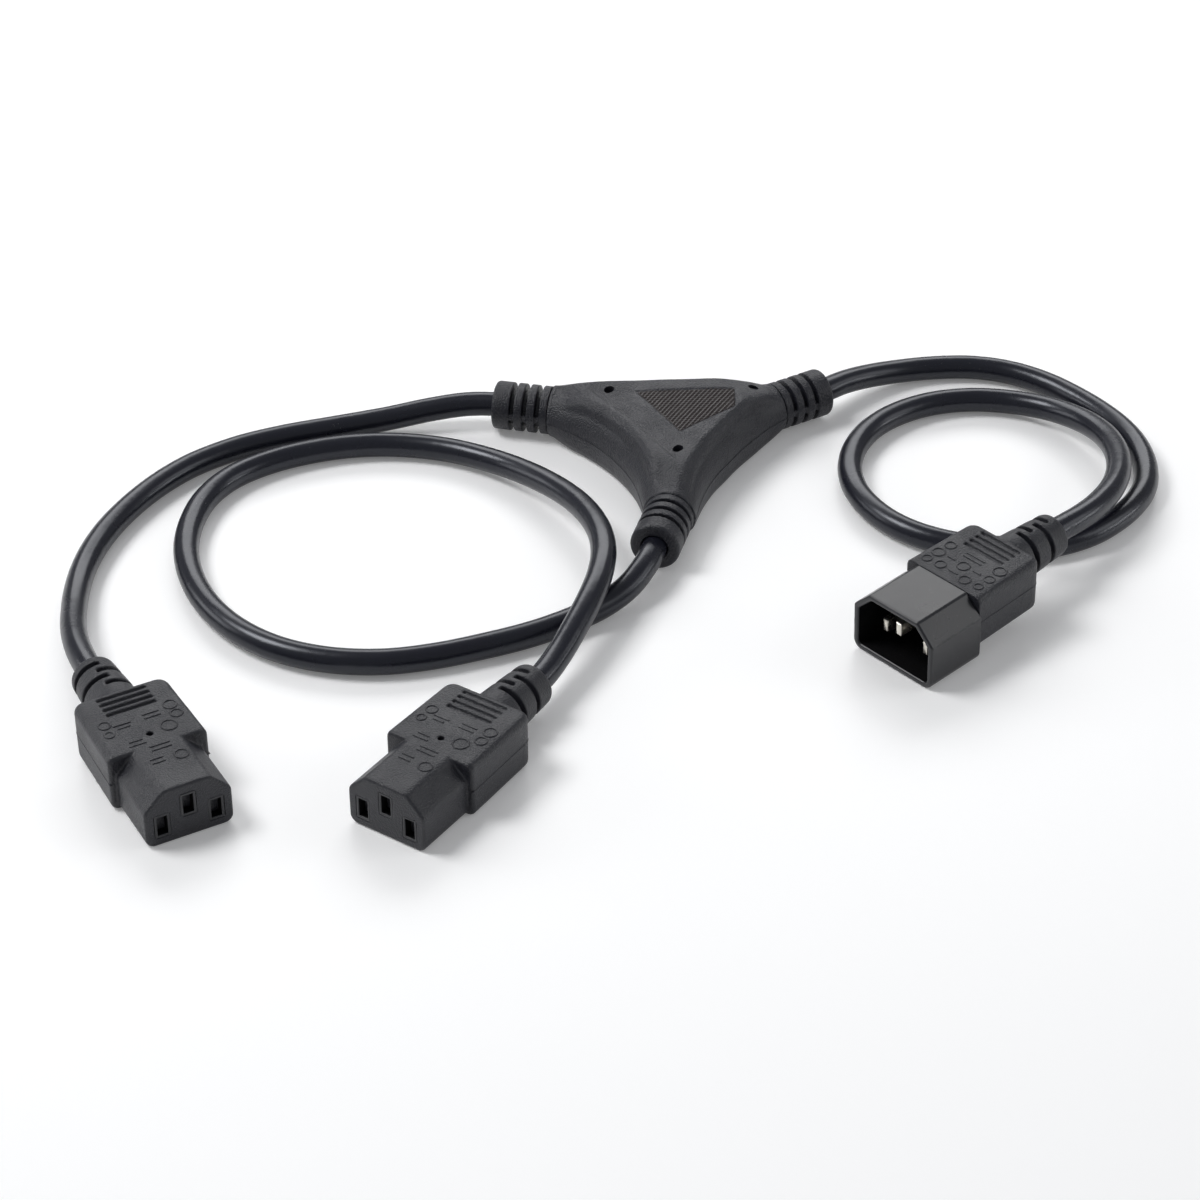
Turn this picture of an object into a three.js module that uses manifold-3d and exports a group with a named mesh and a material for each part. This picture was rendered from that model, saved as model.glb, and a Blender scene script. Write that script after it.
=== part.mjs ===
// Power cord splitter: one plug feeds two outlets through a moulded three-armed block.
// Millimetres, +Z up, the table is z = 0. +X runs along the supply arm of the block.
import * as THREE from 'three';
import { mergeVertices } from 'three/addons/utils/BufferGeometryUtils.js';
import Module from 'manifold-3d';

const wasm = await Module();
wasm.setup();

// Fits and small clearances
const GAP = 0.3;              // room left between neighbouring pieces
const CORD_R = 3.5;           // three-core cord, 7 mm across
const BORE_R = CORD_R + GAP;  // bore that the cord lies in
const WIRE_R = 1.0;           // one insulated conductor
const PIN_W = 2.0;            // flat pin, across
const PIN_H = 4.0;            // flat pin, up
const PIN_PITCH = 7.0;        // line and neutral sit this far each side of the middle
const EARTH_RISE = 4.0;       // the earth pin sits this much higher

// Splitter block
const AXIS_Z = 7.4;           // height of the parting plane and of all three cords
const RELIEF_R = 6.95;        // ribbed strain relief, outside
const RELIEF_CORE_R = 5.0;    // strain relief at the bottom of its grooves
const RELIEF_L = 16.5;        // strain relief length past the body
const COLLAR_L = 5.2;         // last plain ring of the strain relief
const RIB_PITCH = 3.72;
const GROOVE_W = 1.2;
const WEB_H = 1.1;            // half height of the web that joins the ribs at each side
const TOP_Z = 19.0;           // middle of the domed top
const ARM_TOP_Z = 14.4;       // top where the body meets a strain relief
const ARM_ANGLE = 136.85;     // outlet arms, each way from the supply arm, degrees
const SUPPLY_BASE = [27.7, 0];
const OUTLET_BASE = [-27.9, 31.7];
const HOLE_R = 1.55;          // core pin holes in the top
const HOLE_DEPTH = 2.6;
const HOLES = [[20.3, 0], [-16.8, 18.2], [-16.8, -18.2]];

// Outlet connector: local x across the face, y into the body, z up
const FACE_W = 22.8;
const FACE_H = 15.8;
const FACE_CH = 5.3;
const NOSE_L = 17.5;          // length of the chamfered front block
const BODY_W = 26.2;          // rear body, wider than the front by a shoulder
const BODY_END = 43.5;
const SLOT_Z = 5.7;           // line and neutral slots above the bottom
const SLOT_W = 2.7;
const SLOT_H = 5.3;
const NOSE_WALL = 1.2;        // wall of the insert around each slot
const FRONT_WALL = 2.2;
const SIDE_WALL = 1.9;
const TAIL_END = 65.5;        // end of the tapered strain relief
const TAIL_R0 = 7.2;
const TAIL_R1 = 5.5;
const TAIL_CORE_R = 4.7;
const TAIL_SLOTS = [[61.3, -1], [58.1, 1], [54.9, -1], [51.7, 1]];
const TAIL_SLOT_W = 1.3;

// Plug: same body and tail behind a hard shroud
const SHROUD_W = 27.6;
const SHROUD_H = 19.2;
const SHROUD_CH = 5.4;
const SHROUD_L = 18.8;
const SHROUD_WALL = 1.7;
const CAVITY_DEPTH = 16.3;
const PLUG_PIN_Z = 7.6;
const PLUG_LIFT = SHROUD_H - FACE_H;   // the body is flush with the shroud's top
const PLUG_TILT = 2.8;                 // its tail rests on the cord that passes below

// Where the connectors lie: x, y of the face's middle and turn in degrees
const OUTLET_A = { x: -194.85, y: -79.85, turn: -2.0, tilt: 0 };
const OUTLET_B = { x: -154.89, y: -105.13, turn: -65.3, tilt: 0 };
const PLUG = { x: -11.09, y: -112.63, turn: -79.1, tilt: PLUG_TILT };

// Routes of the three cords, from the block to the connector
const OUTLET_A_ROUTE = [
  [-19.4, 23.7, 7.4], [-27.9, 31.7, 7.4], [-39.9, 43.0, 7.4], [-47.0, 48.0, 7.0], [-56.0, 52.3, 5.9],
  [-68.5, 57.0, 4.2], [-83.3, 61.3, 3.6], [-97.0, 64.4, 3.6], [-111.2, 66.0, 3.6], [-125.0, 64.8, 3.6],
  [-134.0, 62.2, 3.6], [-143.0, 58.2, 3.6], [-151.8, 53.0, 3.6], [-160.2, 46.8, 3.6], [-167.6, 39.8, 3.6],
  [-174.2, 31.8, 3.6], [-179.6, 23.2, 4.0], [-184.2, 14.2, 4.8], [-188.0, 5.2, 6.0], [-190.8, -4.2, 7.2],
  [-192.4, -14.4, 7.9], [-192.9, -24.0, 7.9], [-193.6, -43.6, 7.9],
];
const OUTLET_B_ROUTE = [
  [-19.4, -23.7, 7.4], [-27.9, -31.7, 7.4], [-39.9, -43.0, 7.4], [-46.4, -48.3, 6.8], [-54.0, -52.2, 5.2],
  [-62.8, -54.3, 3.9], [-72.8, -55.4, 3.6], [-86.0, -55.4, 3.6], [-100.0, -53.4, 3.6], [-112.5, -50.6, 3.6],
  [-124.5, -46.0, 3.6], [-136.0, -38.0, 3.6], [-144.8, -27.4, 3.6], [-150.2, -14.6, 3.6], [-152.0, -0.4, 3.6],
  [-150.2, 14.4, 3.6], [-145.4, 28.0, 3.6], [-138.0, 39.4, 3.6], [-129.6, 47.6, 3.6], [-119.6, 52.8, 3.6],
  [-108.6, 54.6, 3.6], [-96.6, 53.8, 3.6], [-83.6, 50.2, 3.6], [-71.6, 43.6, 3.6], [-60.4, 33.0, 3.8],
  [-51.8, 17.2, 4.8], [-47.8, 0.2, 6.8], [-47.6, -16.6, 9.2], [-50.8, -31.6, 11.2], [-55.6, -42.4, 12.0],
  [-62.6, -52.0, 12.2], [-71.0, -60.2, 11.6], [-79.4, -66.9, 10.2], [-87.6, -72.8, 8.6], [-95.4, -77.8, 7.9],
  [-104.5, -82.0, 7.9], [-121.7, -89.9, 7.9],
];
const SUPPLY_ROUTE = [
  [17.9, 0, 7.4], [30.0, 0, 7.4], [44.2, 0, 7.4], [53.4, 1.6, 6.8], [63.0, 2.6, 5.4],
  [73.8, 1.8, 4.1], [84.4, -1.4, 3.6], [94.0, -7.0, 3.6], [101.6, -15.0, 3.6], [106.8, -25.6, 3.6],
  [109.4, -37.0, 3.6], [110.4, -48.0, 3.6], [109.8, -58.4, 3.6], [107.0, -68.2, 3.6], [102.2, -77.0, 3.6],
  [95.6, -84.4, 3.6], [87.2, -89.6, 3.6], [77.6, -93.0, 3.6], [67.8, -94.6, 3.6], [57.6, -93.6, 3.6],
  [47.6, -90.0, 3.6], [38.6, -84.0, 3.6], [31.4, -76.2, 3.6], [26.4, -66.4, 3.6], [24.6, -55.4, 3.6],
  [26.0, -44.4, 3.6], [30.8, -34.0, 3.6], [38.8, -25.2, 3.6], [49.0, -19.2, 3.6], [60.4, -16.6, 3.6],
  [72.0, -17.4, 3.6], [82.8, -21.6, 3.6], [91.6, -29.0, 3.9], [97.4, -38.8, 5.0], [99.6, -50.6, 6.8],
  [98.2, -62.4, 8.8], [93.6, -73.4, 10.6], [86.4, -83.2, 12.0], [77.0, -91.2, 13.2], [66.6, -96.6, 14.0],
  [59.4, -99.0, 14.4], [52.3, -100.45, 14.48], [46.0, -101.7, 14.2], [25.6, -105.6, 13.1],
];

// Solid helpers: every shape is built from triangles and joined or cut as a closed body

function solid(geometry) {
  let g = geometry.clone();
  g.deleteAttribute('normal');
  g.deleteAttribute('uv');
  g = mergeVertices(g, 1e-4);
  const mesh = new wasm.Mesh({
    numProp: 3,
    vertProperties: new Float32Array(g.attributes.position.array),
    triVerts: new Uint32Array(g.index.array),
  });
  return new wasm.Manifold(mesh);
}

function shapeOf(points) {
  return new THREE.Shape(points.map(([a, b]) => new THREE.Vector2(a, b)));
}

// Straight prism of an outline in x and y
function prismZ(points, z0, z1) {
  const g = new THREE.ExtrudeGeometry(shapeOf(points), { depth: z1 - z0, bevelEnabled: false });
  g.translate(0, 0, z0);
  return solid(g);
}

// Straight prism of a section in x and z, running along y
function prismY(points, y0, y1) {
  const g = new THREE.ExtrudeGeometry(shapeOf(points), { depth: y1 - y0, bevelEnabled: false });
  g.rotateX(Math.PI / 2);
  g.translate(0, y1, 0);
  return solid(g);
}

function block(x0, x1, y0, y1, z0, z1) {
  const g = new THREE.BoxGeometry(x1 - x0, y1 - y0, z1 - z0);
  g.translate((x0 + x1) / 2, (y0 + y1) / 2, (z0 + z1) / 2);
  return solid(g);
}

// Turned body about the y axis from radius and height pairs that start and end on the axis
function turnedY(profile, sides, x = 0, z = 0) {
  const g = new THREE.LatheGeometry(profile.map(([r, y]) => new THREE.Vector2(r, y)), sides);
  g.translate(x, 0, z);
  return solid(g);
}

function rodY(radius, y0, y1, sides, x = 0, z = 0) {
  return turnedY([[0, y0], [radius, y0], [radius, y1], [0, y1]], sides, x, z);
}

function ringY(inner, outer, y0, y1, sides, z = 0) {
  const profile = [[inner, y0], [outer, y0], [outer, y1], [inner, y1], [inner, y0]];
  return turnedY(profile, sides, 0, z);
}

function joined(list) {
  return list.reduce((whole, next) => whole.add(next));
}

function cut(body, list) {
  return list.reduce((rest, next) => rest.subtract(next), body);
}

function geometryOf(body) {
  const mesh = body.getMesh();
  const g = new THREE.BufferGeometry();
  const count = mesh.numVert;
  const pos = new Float32Array(count * 3);
  for (let i = 0; i < count; i += 1) {
    for (let k = 0; k < 3; k += 1) pos[3 * i + k] = mesh.vertProperties[i * mesh.numProp + k];
  }
  g.setAttribute('position', new THREE.BufferAttribute(pos, 3));
  g.setIndex(Array.from(mesh.triVerts));
  g.computeVertexNormals();
  return g;
}

// Round tube that follows a list of points
function tube(points, radius, steps, sides) {
  const curve = new THREE.CatmullRomCurve3(points.map((p) => new THREE.Vector3(...p)), false, 'centripetal');
  const ring = [];
  for (let i = 0; i < sides; i += 1) {
    const a = (2 * Math.PI * (i + 0.5)) / sides;
    ring.push([radius * Math.cos(a), radius * Math.sin(a)]);
  }
  return new THREE.ExtrudeGeometry(shapeOf(ring), { steps, bevelEnabled: false, extrudePath: curve });
}

// Colours: black flexible plastic, black hard plastic, plated and brass metal, wire insulation
const FINISH = {
  soft: { color: 0x26272b, roughness: 0.62, metalness: 0 },
  grip: { color: 0x232428, roughness: 0.58, metalness: 0 },
  cord: { color: 0x1d1e22, roughness: 0.34, metalness: 0 },
  hard: { color: 0x2c2c2f, roughness: 0.36, metalness: 0 },
  insert: { color: 0x303136, roughness: 0.5, metalness: 0 },
  nickel: { color: 0xc9c6bd, roughness: 0.28, metalness: 1 },
  brass: { color: 0xb9954f, roughness: 0.35, metalness: 1 },
  carrier: { color: 0xd8d4c8, roughness: 0.55, metalness: 0 },
  line: { color: 0x6b3f24, roughness: 0.45, metalness: 0 },
  neutral: { color: 0x2c5fa8, roughness: 0.45, metalness: 0 },
  earth: { color: 0x8fae3a, roughness: 0.45, metalness: 0 },
};

const group = new THREE.Group();
group.name = 'power_cord_splitter';

function addPiece(name, shape, finish, pose) {
  const g = shape.isBufferGeometry ? shape : geometryOf(shape);
  if (pose) {
    g.rotateX(THREE.MathUtils.degToRad(pose.tilt));
    g.rotateZ(THREE.MathUtils.degToRad(pose.turn));
    g.translate(pose.x, pose.y, 0);
  }
  const mesh = new THREE.Mesh(g, new THREE.MeshStandardMaterial({ ...FINISH[finish], name: finish }));
  mesh.name = name;
  group.add(mesh);
}

// Splitter block

const UNIT = [Math.cos(THREE.MathUtils.degToRad(ARM_ANGLE)), Math.sin(THREE.MathUtils.degToRad(ARM_ANGLE))];
const ARMS = [
  { base: SUPPLY_BASE, dir: [1, 0] },
  { base: OUTLET_BASE, dir: UNIT },
  { base: [OUTLET_BASE[0], -OUTLET_BASE[1]], dir: [UNIT[0], -UNIT[1]] },
];

// A body made along y is laid on an arm, with y = 0 at the arm's base
function onArm(body, arm) {
  const turn = Math.atan2(arm.dir[1], arm.dir[0]) * 180 / Math.PI - 90;
  return body.rotate([0, 0, turn]).translate([arm.base[0], arm.base[1], AXIS_Z]);
}

function spline(points, count) {
  const curve = new THREE.CatmullRomCurve3(points.map(([x, y]) => new THREE.Vector3(x, y, 0)), false, 'centripetal');
  return curve.getPoints(count).map((p) => [p.x, p.y]);
}

// Plan outline at the parting plane: two long sides, a hollowed back and three arm ends
const SIDE = [[27.7, 7.1], [20.5, 8.9], [13.1, 11.8], [6.5, 14.8], [0.4, 18.2], [-5, 21.2], [-9.8, 24.5],
  [-15, 28.8], [-19.2, 33.0], [-22.8, 37.1]];
const BACK = [[-33.0, 26.3], [-30.6, 20.5], [-28.5, 14.5], [-27.1, 7.4], [-26.6, 0],
  [-27.1, -7.4], [-28.5, -14.5], [-30.6, -20.5], [-33.0, -26.3]];
const upper = spline(SIDE, 12);
const back = spline(BACK, 12);
const lower = upper.map(([x, y]) => [x, -y]).reverse();
const OUTLINE = [...upper, ...back, ...lower];

// Inward direction at each outline point, kept along the arm's face at the arm ends
function inwardAt(i, start, end) {
  const a = OUTLINE[Math.max(i - 1, start)];
  const b = OUTLINE[Math.min(i + 1, end)];
  const dx = b[0] - a[0];
  const dy = b[1] - a[1];
  const d = Math.hypot(dx, dy);
  return [-dy / d, dx / d];
}

const RUNS = [[0, 12], [13, 25], [26, 38]];
const INWARD = OUTLINE.map((p, i) => {
  const [start, end] = RUNS.find(([s, e]) => i >= s && i <= e);
  return inwardAt(i, start, end);
});
const ACROSS = [
  [0, 0, -1], [12, 1, 1], [13, 1, -1], [25, 2, 1], [26, 2, -1], [38, 0, 1],
];
for (const [i, arm, side] of ACROSS) {
  const [dx, dy] = ARMS[arm].dir;
  INWARD[i] = [-dy * side, dx * side];
}

// How far a point lies from the nearest arm end, measured along the arm
function fromArmEnd(x, y) {
  return Math.min(...ARMS.map(({ base, dir }) => {
    const along = (base[0] - x) * dir[0] + (base[1] - y) * dir[1];
    const aside = Math.abs((base[0] - x) * dir[1] - (base[1] - y) * dir[0]);
    return Math.max(along, 0) + Math.max(aside - 9, 0);
  }));
}

function topAt(x, y) {
  return ARM_TOP_Z + (TOP_Z - ARM_TOP_Z) * (1 - Math.exp(-fromArmEnd(x, y) / 6));
}

// Section levels: height and inset in the middle of the body, and angle on the round arm end
const LEVELS = [
  { low: 0.0, inset: 2.6, angle: -78 },
  { low: 0.7, inset: 1.1, angle: -56 },
  { low: 2.6, inset: 0.25, angle: -30 },
  { low: AXIS_Z, inset: 0, angle: 0 },
  { below: 6.0, inset: 0.7, angle: 30 },
  { below: 2.6, inset: 1.7, angle: 52 },
  { below: 0.8, inset: 3.0, angle: 68 },
  { below: 0.1, inset: 4.6, angle: 80 },
];

function bodyGeometry() {
  const n = OUTLINE.length;
  const pos = [];
  LEVELS.forEach((level) => {
    OUTLINE.forEach(([x, y], i) => {
      const round = Math.exp(-fromArmEnd(x, y) / 5);
      const a = THREE.MathUtils.degToRad(level.angle);
      const roundZ = AXIS_Z + 7.0 * Math.sin(a);
      const roundInset = 7.1 * (1 - Math.cos(a));
      const plainZ = level.low === undefined ? topAt(x, y) - level.below : level.low;
      const inset = round * roundInset + (1 - round) * level.inset;
      const z = round * roundZ + (1 - round) * plainZ;
      pos.push(x + INWARD[i][0] * inset, y + INWARD[i][1] * inset, Math.max(z, 0));
    });
  });
  const index = [];
  for (let k = 0; k + 1 < LEVELS.length; k += 1) {
    for (let i = 0; i < n; i += 1) {
      const j = (i + 1) % n;
      index.push(k * n + i, k * n + j, (k + 1) * n + j);
      index.push(k * n + i, (k + 1) * n + j, (k + 1) * n + i);
    }
  }
  const last = (LEVELS.length - 1) * n;
  const ringAt = (from) => OUTLINE.map((_, i) => new THREE.Vector2(pos[3 * (from + i)], pos[3 * (from + i) + 1]));
  for (const [a, b, c] of THREE.ShapeUtils.triangulateShape(ringAt(last), [])) index.push(last + a, last + b, last + c);
  for (const [a, b, c] of THREE.ShapeUtils.triangulateShape(ringAt(0), [])) index.push(c, b, a);
  const g = new THREE.BufferGeometry();
  g.setAttribute('position', new THREE.Float32BufferAttribute(pos, 3));
  g.setIndex(index);
  return g;
}

// Ribbed strain relief: a plain collar at the end, three ribs and four grooves cut down to the core
function ribbedRelief() {
  const end = RELIEF_L;
  const whole = turnedY([[0, -6], [RELIEF_CORE_R, -6], [RELIEF_CORE_R, -0.6], [RELIEF_R, -0.6], [RELIEF_R, end - 0.7],
    [RELIEF_R - 0.7, end], [0, end]], 24);
  const cutters = [];
  for (let i = 0; i < 4; i += 1) {
    const y1 = end - COLLAR_L - i * RIB_PITCH;
    const ring = ringY(RELIEF_CORE_R, RELIEF_R + 2, y1 - GROOVE_W, y1, 24);
    const web = block(-RELIEF_R + 0.5, RELIEF_R - 0.5, y1 - GROOVE_W - 1, y1 + 1, -WEB_H, WEB_H);
    cutters.push(ring.subtract(web));
  }
  return cut(whole, cutters);
}

const CAVITY = [[19, 3.9], [4, 11.0], [-8, 16.0], [-16.4, 22.6], [-21.2, 17.4], [-21.6, 0],
  [-21.2, -17.4], [-16.4, -22.6], [-8, -16.0], [4, -11.0], [19, -3.9]];
const CAVITY_Z0 = 2.2;
const CAVITY_Z1 = 13.6;

const relief = ribbedRelief();
let cover = joined([solid(bodyGeometry()), ...ARMS.map((arm) => onArm(relief, arm))]);
cover = cut(cover, [
  prismZ(CAVITY, CAVITY_Z0, CAVITY_Z1),
  ...ARMS.map((arm) => onArm(rodY(BORE_R, -18, RELIEF_L + 2, 20), arm)),
]);
for (const [x, y] of HOLES) {
  const pin = rodY(HOLE_R, 0, 10, 12).rotate([90, 0, 0]).translate([x, y, topAt(x, y) + 10 - HOLE_DEPTH]);
  cover = cover.subtract(pin);
}
addPiece('splitter_cover', cover, 'soft');

// Tray inside the block: two cheeks hold the three splices one above another
const TRAY_Z0 = CAVITY_Z0 + GAP;
const TRAY_FLOOR = 1.0;
const SPLICE_X0 = -6.0;
const SPLICE_X1 = 4.0;
const SPLICE_W = 5.6;
const SPLICE_H = 2.8;
const CHEEK = 1.1;
const TRAY = [[8, 8.4], [-9, 14.6], [-14.6, 15.6], [-20.4, 12], [-20.4, -12],
  [-14.6, -15.6], [-9, -14.6], [8, -8.4]];
const stackZ0 = TRAY_Z0 + TRAY_FLOOR + GAP;
const cheekY = SPLICE_W / 2 + GAP;
const cheeks = [-1, 1].map((side) => block(SPLICE_X0 + 1, SPLICE_X1 - 1,
  Math.min(side * cheekY, side * (cheekY + CHEEK)), Math.max(side * cheekY, side * (cheekY + CHEEK)),
  TRAY_Z0 + 0.2, stackZ0 + 3 * SPLICE_H + GAP));
addPiece('splice_tray', joined([prismZ(TRAY, TRAY_Z0, TRAY_Z0 + TRAY_FLOOR), ...cheeks]), 'carrier');

// Crimped splices, one per conductor: both outlet wires enter one end, the supply wire the other
const STACK = ['line', 'neutral', 'earth'];
const LEAD_RISE = 2.3;        // the conductors lie one above another where the jacket is cut
const spliceZ = (level) => stackZ0 + SPLICE_H / 2 + level * (SPLICE_H + GAP);
STACK.forEach((name, level) => {
  const c = 0.7;
  const w = SPLICE_W / 2;
  const h = SPLICE_H / 2;
  const section = [[-w + c, -h], [w - c, -h], [w, -h + c], [w, h - c], [w - c, h], [-w + c, h], [-w, h - c], [-w, -h + c]];
  const sleeve = prismY(section, -SPLICE_X1, -SPLICE_X0).rotate([0, 0, 90]).translate([0, 0, spliceZ(level)]);
  addPiece(`splice_${name}`, sleeve, 'brass');
});

// Conductors run from each cord's cut end to the splices, each on its own level
const cutEnd = (arm, back) => [arm.base[0] - arm.dir[0] * back, arm.base[1] - arm.dir[1] * back];

function fan(prefix, arm, jacket, endX, endY) {
  const [dx, dy] = arm.dir;
  const away = Math.sign(endX);
  STACK.forEach((name, level) => {
    const up = AXIS_Z + (level - 1) * LEAD_RISE;
    const start = [jacket[0], jacket[1], up];
    const near = [jacket[0] - dx * 2.4, jacket[1] - dy * 2.4, up];
    const before = [endX + away * 2.6, endY, spliceZ(level)];
    const tip = [endX, endY, spliceZ(level)];
    addPiece(`${prefix}_${name}_wire`, tube([start, near, before, tip], WIRE_R, 9, 8), name);
  });
}

fan('supply', ARMS[0], cutEnd(ARMS[0], 9.8 + GAP), SPLICE_X1 + GAP, 0);
fan('outlet_a', ARMS[1], cutEnd(ARMS[1], 11.7 + GAP), SPLICE_X0 - GAP, 1.4);
fan('outlet_b', ARMS[2], cutEnd(ARMS[2], 11.7 + GAP), SPLICE_X0 - GAP, -1.4);

// Connector shapes shared by the outlets and the plug

// Face section: square lower corners slightly rounded, both upper corners cut off
function faceSection(w, h, ch, low, z = 0) {
  const a = w / 2;
  return [[-a + low, z], [a - low, z], [a - low * 0.3, z + low * 0.3], [a, z + low], [a, z + h - ch],
    [a - ch, z + h], [-a + ch, z + h], [-a, z + h - ch], [-a, z + low], [-a + low * 0.3, z + low * 0.3]];
}

// Rear body: a rounded slab with its long edges softened
function slab(w, y0, y1, z0, z1, corner, edge) {
  const a = w / 2 - edge;
  const p = [[-a, y0 + edge], [a, y0 + edge]];
  const cy = y1 - edge - corner;
  for (let i = 0; i <= 3; i += 1) {
    const t = (Math.PI / 2) * (i / 3);
    p.push([a - corner + corner * Math.cos(t), cy + corner * Math.sin(t)]);
  }
  for (let i = 0; i <= 3; i += 1) {
    const t = (Math.PI / 2) * (1 + i / 3);
    p.push([-a + corner + corner * Math.cos(t), cy + corner * Math.sin(t)]);
  }
  const g = new THREE.ExtrudeGeometry(shapeOf(p), {
    depth: z1 - z0 - 2 * edge, bevelEnabled: true, bevelThickness: edge, bevelSize: edge, bevelSegments: 2,
  });
  g.translate(0, 0, z0 + edge);
  return solid(g);
}

// Tapered tail with four half-round slots that alternate from side to side
function tail(z) {
  const whole = turnedY([[0, BODY_END - 4], [TAIL_R0, BODY_END - 4], [TAIL_R0, BODY_END], [TAIL_R1 + 0.1, TAIL_END - 0.8],
    [TAIL_R1 - 0.7, TAIL_END], [0, TAIL_END]], 24, 0, z);
  const cutters = TAIL_SLOTS.map(([y, side]) => {
    const ring = ringY(TAIL_CORE_R, TAIL_R0 + 2, y - TAIL_SLOT_W / 2, y + TAIL_SLOT_W / 2, 24, z);
    const keep = block(Math.min(-side * 1.1, -side * 12), Math.max(-side * 1.1, -side * 12), y - 2, y + 2, z - 12, z + 12);
    return ring.subtract(keep);
  });
  return cut(whole, cutters);
}

// Four short grip grooves across the top, near the back
function gripGrooves(top) {
  return [40.9, 38.7, 36.5, 34.3].map((y) => block(-6.7, 6.7, y - 0.5, y + 0.5, top - 0.8, top + 2));
}

// Three conductors from the contacts' crimps to the cord's cut end
const LEADS = [['line', 1], ['earth', 0], ['neutral', -1]];

function leadWires(prefix, pinZ, axisZ, y0, y1, pose) {
  LEADS.forEach(([name, side]) => {
    const z = pinZ + (side === 0 ? EARTH_RISE : 0);
    const x = -side * PIN_PITCH;
    const endX = -side * 1.6;
    const endZ = axisZ + (side === 0 ? 1.5 : -1.0);
    const path = [[x, y0, z], [x * 0.93, y0 + 3, z], [endX, y1 - 2.4, endZ], [endX, y1, endZ]];
    addPiece(`${prefix}_${name}_wire`, tube(path, WIRE_R, 9, 8), name, pose);
  });
}

// Outlets

const TAIL_Z = FACE_H / 2;
const JACKET_Y = 36.2;
const INSERT_BACK = 20.0;
const CONTACT_END = 23.6;

function slotCentres(z) {
  return [[-PIN_PITCH, z], [0, z + EARTH_RISE], [PIN_PITCH, z]];
}

function outletBody() {
  const nose = prismY(faceSection(FACE_W, FACE_H, FACE_CH, 1.2), 0, NOSE_L + 1);
  const rear = slab(BODY_W, NOSE_L, BODY_END, 0, FACE_H, 2.2, 1.0);
  const shell = joined([nose, rear, tail(TAIL_Z)]);
  const inner = faceSection(FACE_W - 2 * SIDE_WALL, FACE_H - 2 * SIDE_WALL, FACE_CH - 1.0, 0.6, SIDE_WALL);
  const windows = slotCentres(SLOT_Z).map(([x, z]) => {
    const w = SLOT_W / 2 + NOSE_WALL + GAP;
    const h = SLOT_H / 2 + NOSE_WALL + GAP;
    return block(x - w, x + w, -1, FRONT_WALL + 1, z - h, z + h);
  });
  return cut(shell, [
    prismY(inner, FRONT_WALL, INSERT_BACK + GAP),
    block(-9.2, 9.2, INSERT_BACK - 1, JACKET_Y - 1.2, 3.2, 12.8),
    rodY(BORE_R, JACKET_Y - 2, TAIL_END + 2, 20, 0, TAIL_Z),
    rodY(0.85, 0, 8, 10).rotate([90, 0, 0]).translate([0, 22.6, FACE_H + 6.8]),
    ...windows,
    ...gripGrooves(FACE_H),
  ]);
}

function outletInsert() {
  const wall = SIDE_WALL + GAP;
  const core = prismY(faceSection(FACE_W - 2 * wall, FACE_H - 2 * wall, FACE_CH - 1.1, 0.6, wall),
    FRONT_WALL + GAP, INSERT_BACK);
  const noses = slotCentres(SLOT_Z).map(([x, z]) => {
    const w = SLOT_W / 2 + NOSE_WALL;
    const h = SLOT_H / 2 + NOSE_WALL;
    return block(x - w, x + w, 0, FRONT_WALL + 0.6, z - h, z + h);
  });
  const slots = slotCentres(SLOT_Z).map(([x, z]) => block(x - SLOT_W / 2, x + SLOT_W / 2, -1, 6,
    z - SLOT_H / 2, z + SLOT_H / 2));
  const pockets = slotCentres(SLOT_Z).map(([x, z]) => block(x - 2.1, x + 2.1, 5, INSERT_BACK + 1, z - 3.0, z + 3.0));
  return cut(joined([core, ...noses]), [...slots, ...pockets]);
}

// Folded contact: a square sleeve that grips a flat pin, with a crimp barrel behind it
function outletContact(x, z) {
  const sleeve = block(x - 1.7, x + 1.7, 5.4, 19.4, z - 2.6, z + 2.6);
  const mouth = block(x - 1.2, x + 1.2, 5, 18.6, z - 2.1, z + 2.1);
  const crimp = rodY(1.5, 19, CONTACT_END, 10, x, z);
  return joined([sleeve.subtract(mouth), crimp]);
}

for (const [prefix, pose] of [['outlet_a', OUTLET_A], ['outlet_b', OUTLET_B]]) {
  addPiece(`${prefix}_body`, outletBody(), 'grip', pose);
  addPiece(`${prefix}_insert`, outletInsert(), 'insert', pose);
  const names = ['line', 'earth', 'neutral'];
  slotCentres(SLOT_Z).forEach(([x, z], i) => addPiece(`${prefix}_${names[i]}_contact`, outletContact(x, z), 'brass', pose));
  leadWires(`${prefix}_end`, SLOT_Z, TAIL_Z, CONTACT_END + GAP, JACKET_Y - GAP, pose);
}

// Plug

const PLUG_TAIL_Z = PLUG_LIFT + TAIL_Z;
const BOSS_END = 23.0;
const PIN_END = 27.0;

function plugBody() {
  const rear = slab(BODY_W, SHROUD_L + GAP, BODY_END, PLUG_LIFT, SHROUD_H, 2.2, 1.0);
  return cut(joined([rear, tail(PLUG_TAIL_Z)]), [
    block(-10.2 - GAP, 10.2 + GAP, SHROUD_L, BOSS_END + GAP, 5.2 - GAP, 15.0 + GAP),
    block(-9.4, 9.4, BOSS_END - 1, JACKET_Y - 0.8, 5.0, 16.2),
    rodY(BORE_R, JACKET_Y - 2, TAIL_END + 2, 20, 0, PLUG_TAIL_Z),
    ...gripGrooves(SHROUD_H),
  ]);
}

function pinSection(x, z, grow) {
  const w = PIN_W / 2 + grow;
  const h = PIN_H / 2 + grow;
  return [x - w, x + w, z - h, z + h];
}

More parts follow.
